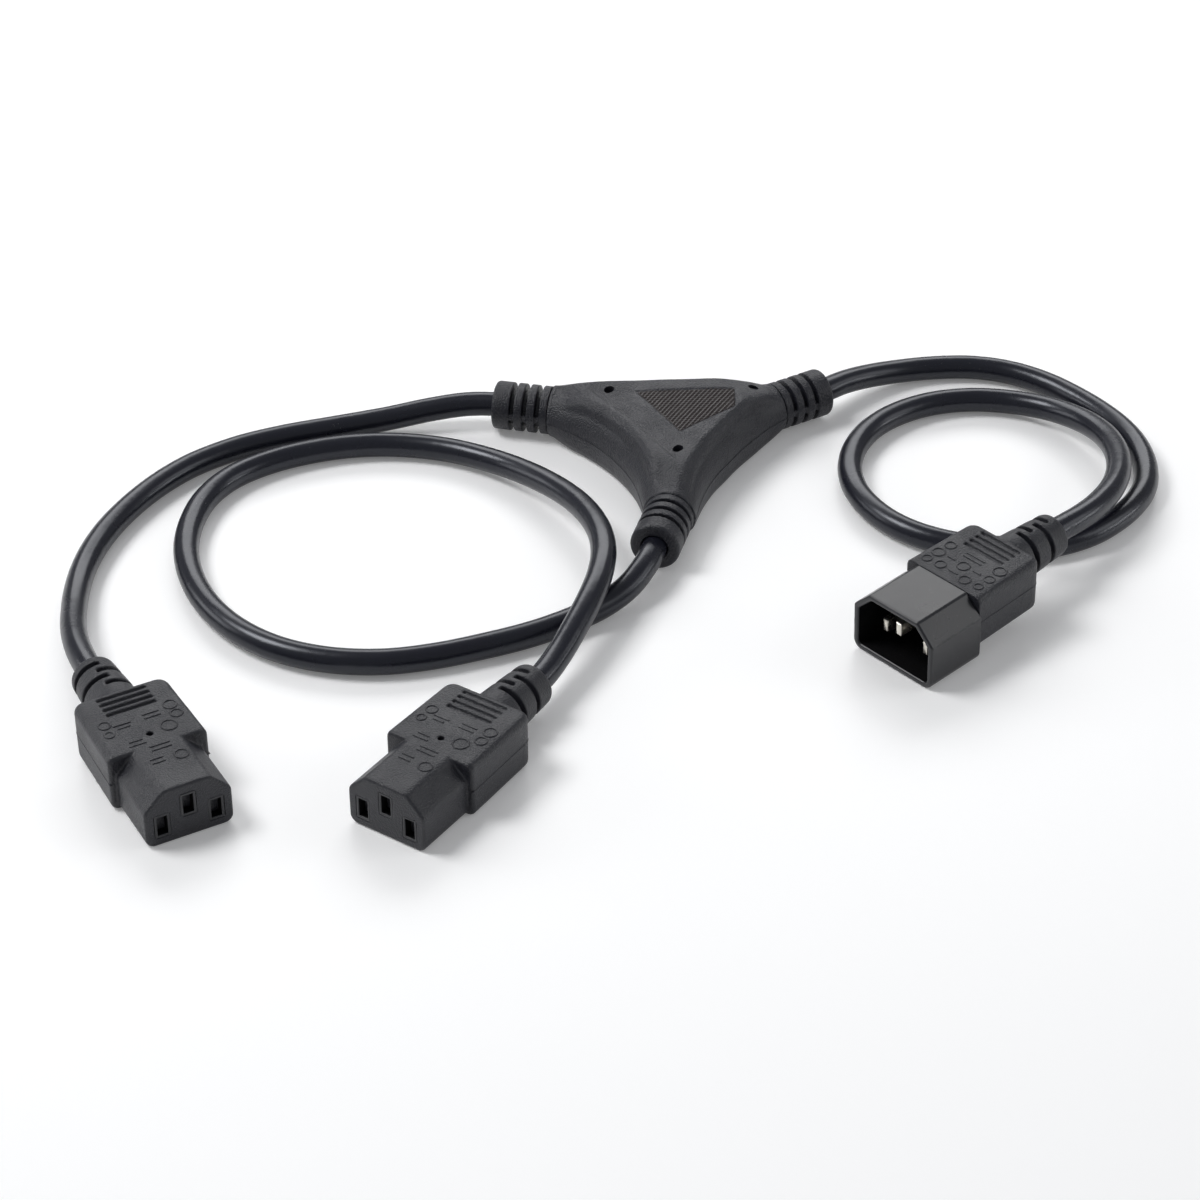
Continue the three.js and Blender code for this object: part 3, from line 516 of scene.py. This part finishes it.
seam_line = [(x - ix * 0.1, y - iy * 0.1) for (x, y), (ix, iy) in zip(outline, inward)]
seam = pull_rings("parting_seam", [[(x, y, AXIS_Z + z) for x, y in seam_line] for z in (-0.09, 0.09)])
join_into(block, [seam])
bpy.ops.object.shade_smooth_by_angle(angle=math.radians(40))

# Leathery grain of the mould: packed cells of a few tenths of a millimetre with soft valleys
leather, given, out = new_group(
    "leather_grain",
    [("Place", "NodeSocketVector", None), ("Cell Size", "NodeSocketFloat", 1500.0),
     ("Fine", "NodeSocketFloat", 0.3), ("Patches", "NodeSocketFloat", 120.0)],
    [("Height", "NodeSocketFloat"), ("Valley", "NodeSocketFloat")],
)
cells = add_node(leather, "ShaderNodeTexVoronoi", {"Vector": given["Place"], "Scale": given["Cell Size"]},
                 feature="SMOOTH_F1")
cell_top = add_node(leather, "ShaderNodeMapRange", {
    "Value": cells.outputs["Distance"], "From Min": 0.2, "From Max": 0.62, "To Min": 1.0, "To Max": 0.0})
fine = add_node(leather, "ShaderNodeTexNoise", {"Vector": given["Place"], "Scale": 5200.0, "Detail": 3.0})
fine_part = add_node(leather, "ShaderNodeMath", {0: fine.outputs["Fac"], 1: given["Fine"]},
                     operation="MULTIPLY")
patches = add_node(leather, "ShaderNodeTexNoise", {"Vector": given["Place"], "Scale": given["Patches"]})
depth = add_node(leather, "ShaderNodeMapRange", {
    "Value": patches.outputs["Fac"], "From Min": 0.4, "From Max": 0.65, "To Min": 0.55, "To Max": 1.0})
cell_part = add_node(leather, "ShaderNodeMath", {0: cell_top.outputs[0], 1: depth.outputs[0]},
                     operation="MULTIPLY")
total = add_node(leather, "ShaderNodeMath", {0: cell_part.outputs[0], 1: fine_part.outputs[0]},
                 operation="ADD")
valley = add_node(leather, "ShaderNodeMath", {0: 1.0, 1: cell_top.outputs[0]}, operation="SUBTRACT")
leather.links.new(total.outputs[0], out["Height"])
leather.links.new(valley.outputs[0], out["Valley"])


def grained(name, colour, gloss, cell_size, fine_share, strength, depth=0.12, dust_amount=0.2):
    """Handled plastic with the leather grain pressed into it."""
    material, tree, skin, place = plastic(name, colour, *gloss, dust_amount=dust_amount)
    grain = add_node(tree, "ShaderNodeGroup", node_tree=leather)
    tree.links.new(place, grain.inputs["Place"])
    grain.inputs["Cell Size"].default_value = cell_size
    grain.inputs["Fine"].default_value = fine_share
    add_bump(tree, skin, grain.outputs["Height"], strength, depth * MM)
    return material


def wear(piece, *materials):
    """Gives a piece these materials in place of any that it has."""
    piece.data.materials.clear()
    for material in materials:
        piece.data.materials.append(material)


block_skin = grained("block_skin", (0.0135, 0.0142, 0.0205), (0.36, 0.47), 2300.0, 0.4, 0.9, 0.16, 0.3)
wear(block, block_skin)

# Grip patch: a shallow recess in the block's top is cut with two sets of slanting grooves, which
# leave rows of small four-sided points for the fingers.
KNURL_PITCH = 1.12
KNURL_DEPTH = 0.42
KNURL_TURN = math.radians(31)
KNURL_ROOT = 0.46

bpy.ops.object.select_all(action="DESELECT")
bpy.ops.mesh.primitive_grid_add(x_subdivisions=200, y_subdivisions=200, size=28 * MM,
                                location=(0.9 * MM, 0.4 * MM, 0))
bpy.ops.object.transform_apply(location=True, rotation=True, scale=True)
patch = bpy.context.active_object
patch.name = "grip_patch"
bpy.ops.object.mode_set(mode="EDIT")
for (ax, ay), (bx, by) in zip(GRIP_PATCH, GRIP_PATCH[1:] + GRIP_PATCH[:1]):
    bpy.ops.mesh.select_all(action="SELECT")
    out_x, out_y = Vector((ay - by, bx - ax)).normalized()
    bpy.ops.mesh.bisect(plane_co=(ax * MM, ay * MM, 0), plane_no=(out_x, out_y, 0), clear_outer=True)
bpy.ops.object.mode_set(mode="OBJECT")
for corner in patch.data.vertices:
    x, y, _ = corner.co / MM
    rows = [(x * math.sin(t) + y * math.cos(t)) / KNURL_PITCH for t in (KNURL_TURN, -KNURL_TURN)]
    point = min(1 - abs(2 * (r - math.floor(r)) - 1) for r in rows)
    sunk = 0.5 if not in_patch(x, y, 0.3) else 0
    corner.co.z = (top_at(x, y) - KNURL_ROOT - sunk + KNURL_DEPTH * min(point * 1.25, 1)) * MM
work_on(patch)
bpy.ops.object.shade_smooth()
wear(patch, grained("grip_patch_skin", (0.026, 0.019, 0.019), (0.26, 0.36), 3000.0, 0.5, 0.35))
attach(patch, "root")
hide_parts("splitter_cover")

# Ribbed strain reliefs: each arm of the block ends in a plain collar and three ribs, moulded in one
# with it. Four deep grooves let it bend with the cord, and a web joins the ribs at each side.
RELIEF_R = 6.95
RELIEF_CORE_R = 5.0
RELIEF_L = 16.5
BORE_R = 3.75
GROOVE_W = 1.4
GROOVE_PITCH = 3.72
GROOVES = [RELIEF_L - 5.2 - i * GROOVE_PITCH for i in range(4)]
WEB_X = 5.5
WEB_HALF = 0.95
RELIEF_VOXEL = 0.21


def turned(name, profile, height, sides=56):
    """Round body about a line along y, pulled ring by ring through radius and place pairs."""
    rings = [[(r * math.cos(2 * math.pi * k / sides), y, height + r * math.sin(2 * math.pi * k / sides))
              for k in range(sides)] for r, y in profile]
    return pull_rings(name, rings)


def slab(x0, x1, y0, y1, z0, z1):
    """Block between two corners, in millimetres."""
    bpy.ops.object.select_all(action="DESELECT")
    middle = ((x0 + x1) / 2 * MM, (y0 + y1) / 2 * MM, (z0 + z1) / 2 * MM)
    bpy.ops.mesh.primitive_cube_add(size=MM, location=middle, scale=(x1 - x0, y1 - y0, z1 - z0))
    bpy.ops.object.transform_apply(location=True, rotation=True, scale=True)
    return bpy.context.active_object


def copy_at(piece, name, place, turn):
    """Copies a piece with its mesh, turned and set down at a place in millimetres."""
    twin = piece.copy()
    twin.data = piece.data.copy()
    twin.name = name
    bpy.context.scene.collection.objects.link(twin)
    twin.rotation_euler = (0, 0, turn)
    twin.location = Vector(place) * MM
    settle(twin)
    return twin


profile = [(RELIEF_CORE_R, -6), (RELIEF_CORE_R, GROOVES[3] - GROOVE_W)]
for start in reversed(GROOVES):
    profile += [(RELIEF_CORE_R, start - GROOVE_W + 0.05), (RELIEF_CORE_R, start), (RELIEF_R, start + 0.01)]
    if start != GROOVES[0]:
        profile += [(RELIEF_R, start + GROOVE_PITCH - GROOVE_W)]
profile += [(RELIEF_R, RELIEF_L - 0.8), (RELIEF_R - 0.25, RELIEF_L - 0.25), (RELIEF_R - 0.8, RELIEF_L),
            (BORE_R, RELIEF_L), (BORE_R, 2)]
ribbed = turned("ribbed_relief", profile, 0)
webs = [slab(x - WEB_HALF, x + WEB_HALF, GROOVES[3] - 1.8, GROOVES[0] + 0.6, -1.0, 1.0)
        for x in (-WEB_X, WEB_X)]
join_into(ribbed, webs)
mould(ribbed, RELIEF_VOXEL, 2)
wear(ribbed, block_skin)
reliefs = []
for label, ((bx, by), turn) in zip(("supply", "outlet_a", "outlet_b"), ARMS):
    reliefs.append(copy_at(ribbed, "strain_relief_" + label, (bx, by, AXIS_Z), turn - math.pi / 2))
bpy.data.objects.remove(ribbed)
for piece in [block] + reliefs:
    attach(piece, "root")
    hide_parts("splitter_cover")

# Outlet bodies: flexible black plastic moulded over the insert and the end of the cord. The chamfered
# front fits an appliance inlet, the wider rear is held by the fingers, and the slotted tail bends.
FACE_W = 22.8
FACE_H = 15.8
NOSE_L = 17.5
BODY_W = 26.2
REAR_W = 25.0
BODY_END = 43.5
TAIL_END = 62.0
TAIL_SLOTS = [(58.3, -1), (55.1, 1), (51.9, -1), (48.7, 1)]
GRIP_GROOVES = (40.9, 38.7, 36.5, 34.3)
CORNER_R = 3.0
OUTLET_VOXEL = 0.27
SLOTS = [(-7.0, 5.7), (0.0, 9.7), (7.0, 5.7)]
SLOT_X = 1.35
SLOT_Z = 2.65
NOSE_X = 2.08
NOSE_Z = 3.38
NOSE_GAP = 0.04
POSES = {"outlet_a": (-194.85, -79.85, -2.0), "outlet_b": (-154.89, -105.13, -65.3)}


def soften(piece, picks, width, segments):
    """Bevels the edges that a test picks by their two ends, in millimetres."""
    work_on(piece)
    bpy.ops.object.mode_set(mode="EDIT")
    bpy.ops.mesh.select_mode(type="EDGE")
    bpy.ops.mesh.select_all(action="DESELECT")
    bm = bmesh.from_edit_mesh(piece.data)
    for edge in bm.edges:
        if picks(*[v.co / MM for v in edge.verts]):
            edge.select_set(True)
    bmesh.update_edit_mesh(piece.data)
    bpy.ops.mesh.bevel(offset=width * MM, segments=segments, affect="EDGES")
    bpy.ops.object.mode_set(mode="OBJECT")


def runs_along(axis):
    """Test for edges that run along one axis."""
    return lambda a, b: (b - a).normalized()[axis] ** 2 > 0.98


def narrowed(piece, front, front_w, rear_w):
    """Sets a slab's width at the shoulder and at the tail."""
    for corner in piece.data.vertices:
        back = min(max((corner.co.y / MM - front) / (BODY_END - front), 0), 1)
        corner.co.x *= (front_w + (rear_w - front_w) * back) / BODY_W


def rear_body(front, low, high, front_w, rear_w):
    """Rear slab of a connector with rounded corners and softened edges."""
    body = slab(-BODY_W / 2, BODY_W / 2, front, BODY_END, low, high)
    narrowed(body, front, front_w, rear_w)
    soften(body, lambda a, b: runs_along(2)(a, b) and a.y > front + 1, CORNER_R, 5)
    soften(body, lambda a, b: abs(a.z - b.z) < 0.01 and not (a.y < front + 0.1 and b.y < front + 0.1), 1.9, 4)
    return body


def half_ring(y, side, height):
    """Cutter for one tail slot: a half ring that runs a little past the middle at both ends."""
    arc = [side * math.radians(-100 + 200 * k / 28) for k in range(29)]
    around = [(9.5 * side * math.cos(a), 9.5 * math.sin(a)) for a in arc]
    around += [(4.7 * side * math.cos(a), 4.7 * math.sin(a)) for a in reversed(arc)]
    return pull_rings("tail_slot", [[(x, at, height + z) for x, z in around] for at in (y - 0.8, y + 0.8)])


def slotted_tail(height):
    """Tapered tail with four half-round slots that alternate from side to side."""
    tail = turned("tail", [(7.2, 39.5), (7.2, 43.5), (6.9, 46.0), (6.0, TAIL_END - 1.1),
                           (5.75, TAIL_END - 0.4), (5.1, TAIL_END), (BORE_R, TAIL_END), (BORE_R, 44.5)],
                  height)
    cut_away(tail, [half_ring(y, side, height) for y, side in TAIL_SLOTS])
    return tail


def half_seam(front, height, front_w, rear_w):
    """Thin flash line where the two halves of the mould met, round a rear body."""
    line = slab(-BODY_W / 2, BODY_W / 2, front, BODY_END + 0.07, height - 0.08, height + 0.08)
    narrowed(line, front, front_w + 0.14, rear_w + 0.14)
    soften(line, lambda a, b: runs_along(2)(a, b) and a.y > front + 1, CORNER_R, 5)
    return line


def marks_on(top, rings, bars):
    """Plain raised rings and bars, as moulded on the top of a connector."""
    made = []
    for x, y, radius in rings:
        bpy.ops.mesh.primitive_torus_add(location=(x * MM, y * MM, top * MM), major_radius=radius * MM,
                                         minor_radius=0.25 * MM, major_segments=36, minor_segments=8)
        made.append(bpy.context.active_object)
        bpy.ops.transform.resize(value=(1, 1, 0.9))
        bpy.ops.object.transform_apply(location=True, rotation=True, scale=True)
        bpy.ops.object.shade_smooth()
    for x, y, length, tall in bars:
        bar = slab(x - length / 2, x + length / 2, y - tall / 2, y + tall / 2, top - 0.2, top + 0.2)
        soften(bar, lambda a, b: a.z > top and b.z > top, 0.12, 2)
        made.append(bar)
    return made


def grip_groove(y, top):
    """Cutter for one short grip groove with round ends."""
    groove = slab(-6.7, 6.7, y - 0.55, y + 0.55, top - 0.85, top + 2)
    soften(groove, lambda a, b: runs_along(2)(a, b), 0.5, 4)
    return groove


nose = slab(-FACE_W / 2, FACE_W / 2, 0, NOSE_L + 1.6, 0, FACE_H)
soften(nose, lambda a, b: runs_along(1)(a, b) and a.z > 1, 5.3, 1)
soften(nose, lambda a, b: runs_along(1)(a, b) and a.z > 1, 0.9, 3)
soften(nose, lambda a, b: runs_along(1)(a, b) and a.z < 1, 2.3, 5)
soften(nose, lambda a, b: a.y < 0.01 and b.y < 0.01, 0.55, 2)
hole_x, hole_z = NOSE_X + NOSE_GAP, NOSE_Z + NOSE_GAP
cut_away(nose, [slab(x - hole_x, x + hole_x, -1, 2.4, z - hole_z, z + hole_z) for x, z in SLOTS])
rear = rear_body(NOSE_L, 0, FACE_H, BODY_W, REAR_W)
soften(rear, lambda a, b: a.y < NOSE_L + 0.1 and b.y < NOSE_L + 0.1, 0.9, 3)
cut_away(rear, [grip_groove(y, FACE_H) for y in GRIP_GROOVES])
cut_away(rear, [rod(0, 22.6, FACE_H - 2.2, FACE_H + 2, 0.85)])
outlet = slotted_tail(FACE_H / 2)
join_into(outlet, [nose, rear])
mould(outlet, OUTLET_VOXEL, 2)
body_skin = grained("connector_skin", (0.0155, 0.0163, 0.022), (0.38, 0.49), 2600.0, 0.5, 0.8, 0.12, 0.25)
outlet_rings = [(-8.6, 30.6, 1.5), (8.8, 31.0, 1.7), (8.9, 27.0, 1.5), (-8.9, 26.6, 1.2),
                (5.4, 23.4, 2.0), (3.6, 11.4, 1.7)]
outlet_bars = [(-4.6, 29.2, 4.6, 0.5), (-4.6, 27.8, 3.2, 0.5), (3.2, 30.2, 4.4, 0.5), (3.2, 28.6, 4.4, 0.5),
               (-4.2, 21.4, 3.4, 0.5), (-4.2, 19.8, 4.4, 0.5), (0.4, 17.4, 5.2, 0.5), (0.4, 15.8, 5.2, 0.5),
               (-2.4, 12.6, 3.4, 0.5), (-2.4, 11.0, 3.4, 0.5)]
outlet_seam = half_seam(NOSE_L, FACE_H / 2, BODY_W, REAR_W)
join_into(outlet, [outlet_seam] + marks_on(FACE_H, outlet_rings, outlet_bars))
wear(outlet, body_skin)

outlet_bodies = {}
for label, (x, y, turn) in POSES.items():
    body = copy_at(outlet, label + "_housing", (x, y, 0), math.radians(turn))
    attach(body, "root")
    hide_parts(label + "_body")
    outlet_bodies[label] = body
bpy.data.objects.remove(outlet)

# Outlet inserts: hard black plastic carriers that hold the three contacts. Their square noses come
# through the front of the body, flush with it, and each is opened by the slot for one flat pin.
insert_skin = grained("insert_skin", (0.024, 0.025, 0.029), (0.34, 0.44), 3200.0, 0.6, 0.3)
# The walls inside the pin slots take a near-black, rough, dull material: painted shade for the dark depth of
# the slots, not a colour of the plastic.
painted_recess_shade = grained("painted_recess_shade", (0.0015, 0.0015, 0.002), (0.75, 0.9), 3200.0, 0.6, 0.3)
painted_recess_shade.node_tree.nodes["Principled BSDF"].inputs["Specular IOR Level"].default_value = 0.12
insert = slab(-9.2, 9.2, 2.5, 20.0, 2.2, 13.6)
soften(insert, lambda a, b: runs_along(1)(a, b) and a.z > 5, 4.0, 1)
cut_away(insert, [slab(x - 2.1, x + 2.1, 4.9, 21, z - 3.0, z + 3.0) for x, z in SLOTS])
cut_away(insert, [slab(x - SLOT_X, x + SLOT_X, 1, 6, z - SLOT_Z, z + SLOT_Z) for x, z in SLOTS])
noses = []
for x, z in SLOTS:
    part = slab(x - NOSE_X, x + NOSE_X, 0.02, 2.9, z - NOSE_Z, z + NOSE_Z)
    cut_away(part, [slab(x - SLOT_X, x + SLOT_X, -1, 4, z - SLOT_Z, z + SLOT_Z)])
    soften(part, lambda a, b: a.y < 0.1 and b.y < 0.1, 0.18, 2)
    noses.append(part)
join_into(insert, noses)
wear(insert, insert_skin, painted_recess_shade)
# Faces inside the slots, behind the front, take the painted shade.
for face in insert.data.polygons:
    x, y, z = face.center / MM
    in_slot = min(max(abs(x - sx) - SLOT_X, abs(z - sz) - SLOT_Z) for sx, sz in SLOTS) <= 0.01
    face.material_index = 1 if in_slot and y > 0.3 else 0
inserts = {}
for label, (x, y, turn) in POSES.items():
    part = copy_at(insert, label + "_carrier", (x, y, 0), math.radians(turn))
    bpy.ops.object.shade_smooth_by_angle(angle=math.radians(35))
    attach(part, "root")
    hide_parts(label + "_insert")
    inserts[label] = part
bpy.data.objects.remove(insert)

# Plug shroud: a stiff, smooth moulded cup round the three pins, with both upper corners cut off so
# that it goes into an outlet one way round only.
SHROUD_W = 27.6
SHROUD_H = 19.2
SHROUD_L = 18.8
PLUG_PLACE = (-11.09, -112.63, -79.1)
PLUG_TILT = math.radians(2.8)
CUP_WALL = 1.65
CUP_DEPTH = 16.35
PLUG_PINS = [(-7.0, 7.6, 4.8), (0.0, 11.6, 2.1), (7.0, 7.6, 4.8)]


def lay_plug_piece(piece, name, node):
    """Turns a plug piece to where the plug lies, hangs it on the root and hides the CAD node it stands for.
    """
    x, y, turn = PLUG_PLACE
    piece.name = name
    piece.data.transform(Matrix.Rotation(PLUG_TILT, 4, "X"))
    piece.rotation_euler = (0, 0, math.radians(turn))
    piece.location = (x * MM, y * MM, 0)
    settle(piece)
    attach(piece, "root")
    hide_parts(node)


def inset_front(piece, width, push):
    """Insets the foremost face and pushes it back into the piece, in millimetres."""
    work_on(piece)
    bpy.ops.object.mode_set(mode="EDIT")
    bpy.ops.mesh.select_mode(type="FACE")
    bpy.ops.mesh.select_all(action="DESELECT")
    bm = bmesh.from_edit_mesh(piece.data)
    inner = max((f for f in bm.faces if f.normal.y < -0.9), key=lambda f: f.calc_area())
    inner.select_set(True)
    bmesh.update_edit_mesh(piece.data)
    bpy.ops.mesh.inset(thickness=width * MM)
    bpy.ops.mesh.extrude_region_move(TRANSFORM_OT_translate={"value": (0, push * MM, 0)})
    bpy.ops.object.mode_set(mode="OBJECT")


shroud = slab(-SHROUD_W / 2, SHROUD_W / 2, 0, SHROUD_L, 0, SHROUD_H)
soften(shroud, lambda a, b: runs_along(1)(a, b) and a.z > 1, 5.4, 1)
soften(shroud, lambda a, b: runs_along(1)(a, b) and a.z < 1, 2.8, 6)
inset_front(shroud, CUP_WALL, CUP_DEPTH)
apply_modifier(shroud, "BEVEL", width=0.55 * MM, segments=3, limit_method="ANGLE",
               angle_limit=math.radians(28))
cut_away(shroud, [slab(x - 1.15, x + 1.15, 14, 18, z - 2.15, z + 2.15) for x, z, _ in PLUG_PINS])
work_on(shroud)
bpy.ops.object.shade_smooth_by_angle(angle=math.radians(40))
apply_modifier(shroud, "WEIGHTED_NORMAL", mode="FACE_AREA", weight=100, keep_sharp=True)
shroud_skin, tree, skin, place = plastic("shroud_plastic", (0.017, 0.0175, 0.021), 0.25, 0.32, 35.0, 0.35)
wave = add_node(tree, "ShaderNodeTexNoise", {"Vector": place, "Scale": 90.0, "Detail": 2.0})
fuzz = add_node(tree, "ShaderNodeTexNoise", {"Vector": place, "Scale": 3000.0, "Detail": 2.0})
height = add_node(tree, "ShaderNodeMath", {0: fuzz.outputs["Fac"], 1: 0.05, 2: wave.outputs["Fac"]},
                  operation="MULTIPLY_ADD")
add_bump(tree, skin, height.outputs[0], 0.2, 0.0005)
# The inside walls and floor of the cup take the same near-black material: painted shade for the dark inside
# of the cup.
wear(shroud, shroud_skin, painted_recess_shade)
for face in shroud.data.polygons:
    x, y, z = face.center / MM
    faces_in = x * face.normal.x + (z - SHROUD_H / 2) * face.normal.z < -0.1 * MM or face.normal.y < -0.9
    face.material_index = 1 if y > 0.9 and faces_in and abs(x) < SHROUD_W / 2 - 1 else 0
lay_plug_piece(shroud, "plug_cup", "plug_shroud")

# Plug body: the same flexible black grip and slotted tail as an outlet's, moulded round the wire ends
# behind the cup and flush with its top.
PLUG_BODY_W = (25.6, 24.2)
PLUG_VOXEL = 0.25

plug_rear = rear_body(SHROUD_L, SHROUD_H - FACE_H, SHROUD_H, *PLUG_BODY_W)
cut_away(plug_rear, [grip_groove(y, SHROUD_H) for y in GRIP_GROOVES])
plug_grip = slotted_tail(SHROUD_H - FACE_H / 2)
join_into(plug_grip, [plug_rear])
mould(plug_grip, PLUG_VOXEL, 2)
plug_rings = [(8.4, 31.2, 1.8), (-8.4, 30.8, 1.5), (8.8, 26.8, 1.4), (0.2, 26.4, 1.7), (-8.6, 26.4, 1.7),
              (-9.0, 22.4, 1.3), (-4.6, 22.8, 1.5), (4.4, 22.2, 1.6), (8.8, 22.6, 1.2)]
plug_bars = [(0.0, 31.4, 6.2, 0.5), (0.0, 29.9, 6.2, 0.5), (-4.4, 26.8, 2.6, 0.5), (4.6, 26.6, 2.6, 0.5),
             (0.0, 22.6, 3.0, 0.5)]
plug_seam = half_seam(SHROUD_L, SHROUD_H - FACE_H / 2, *PLUG_BODY_W)
join_into(plug_grip, [plug_seam] + marks_on(SHROUD_H, plug_rings, plug_bars))
wear(plug_grip, body_skin)
lay_plug_piece(plug_grip, "plug_grip", "plug_body")

# Plug pins: flat brass pins with a nickel plating and a chamfered tip. They are pressed through the
# floor of the cup and crimped to the wire ends behind it.
PIN_X = 1.0
PIN_Z = 2.0
PIN_BACK = 27.0

nickel = metal("nickel_plating", 900.0, 3.0, ((0.78, 0.75, 0.68), (0.66, 0.63, 0.56)), (0.22, 0.36))[0]
pins = []
for (x, z, tip), label in zip(PLUG_PINS, ("line", "earth", "neutral")):
    pin = slab(x - PIN_X, x + PIN_X, tip, PIN_BACK, z - PIN_Z, z + PIN_Z)
    soften(pin, lambda a, b: a.y < tip + 0.01 and b.y < tip + 0.01, 0.6, 2)
    soften(pin, runs_along(1), 0.18, 2)
    bpy.ops.object.shade_smooth_by_angle(angle=math.radians(35))
    wear(pin, nickel)
    lay_plug_piece(pin, f"plug_{label}_blade", f"plug_{label}_pin")
    pins.append(pin)

# Cord ends: each connector is moulded onto its cord, so it is listed with that cord. The contacts and the
# wire ends inside it, which are shown as the CAD has them, are listed with the same cord.
cord_ends = {
    "outlet_a_cord": [outlet_bodies["outlet_a"], inserts["outlet_a"]],
    "outlet_b_cord": [outlet_bodies["outlet_b"], inserts["outlet_b"]],
    "supply_cord": [shroud, plug_grip] + pins,
}
for name, node in nodes.items():
    for label in ("outlet_a", "outlet_b"):
        if name.startswith(label + "_end_") or (name.startswith(label) and name.endswith("contact")):
            cord_ends[label + "_cord"].append(node)
    if name.startswith("plug_") and name.endswith("_wire"):
        cord_ends["supply_cord"].append(node)
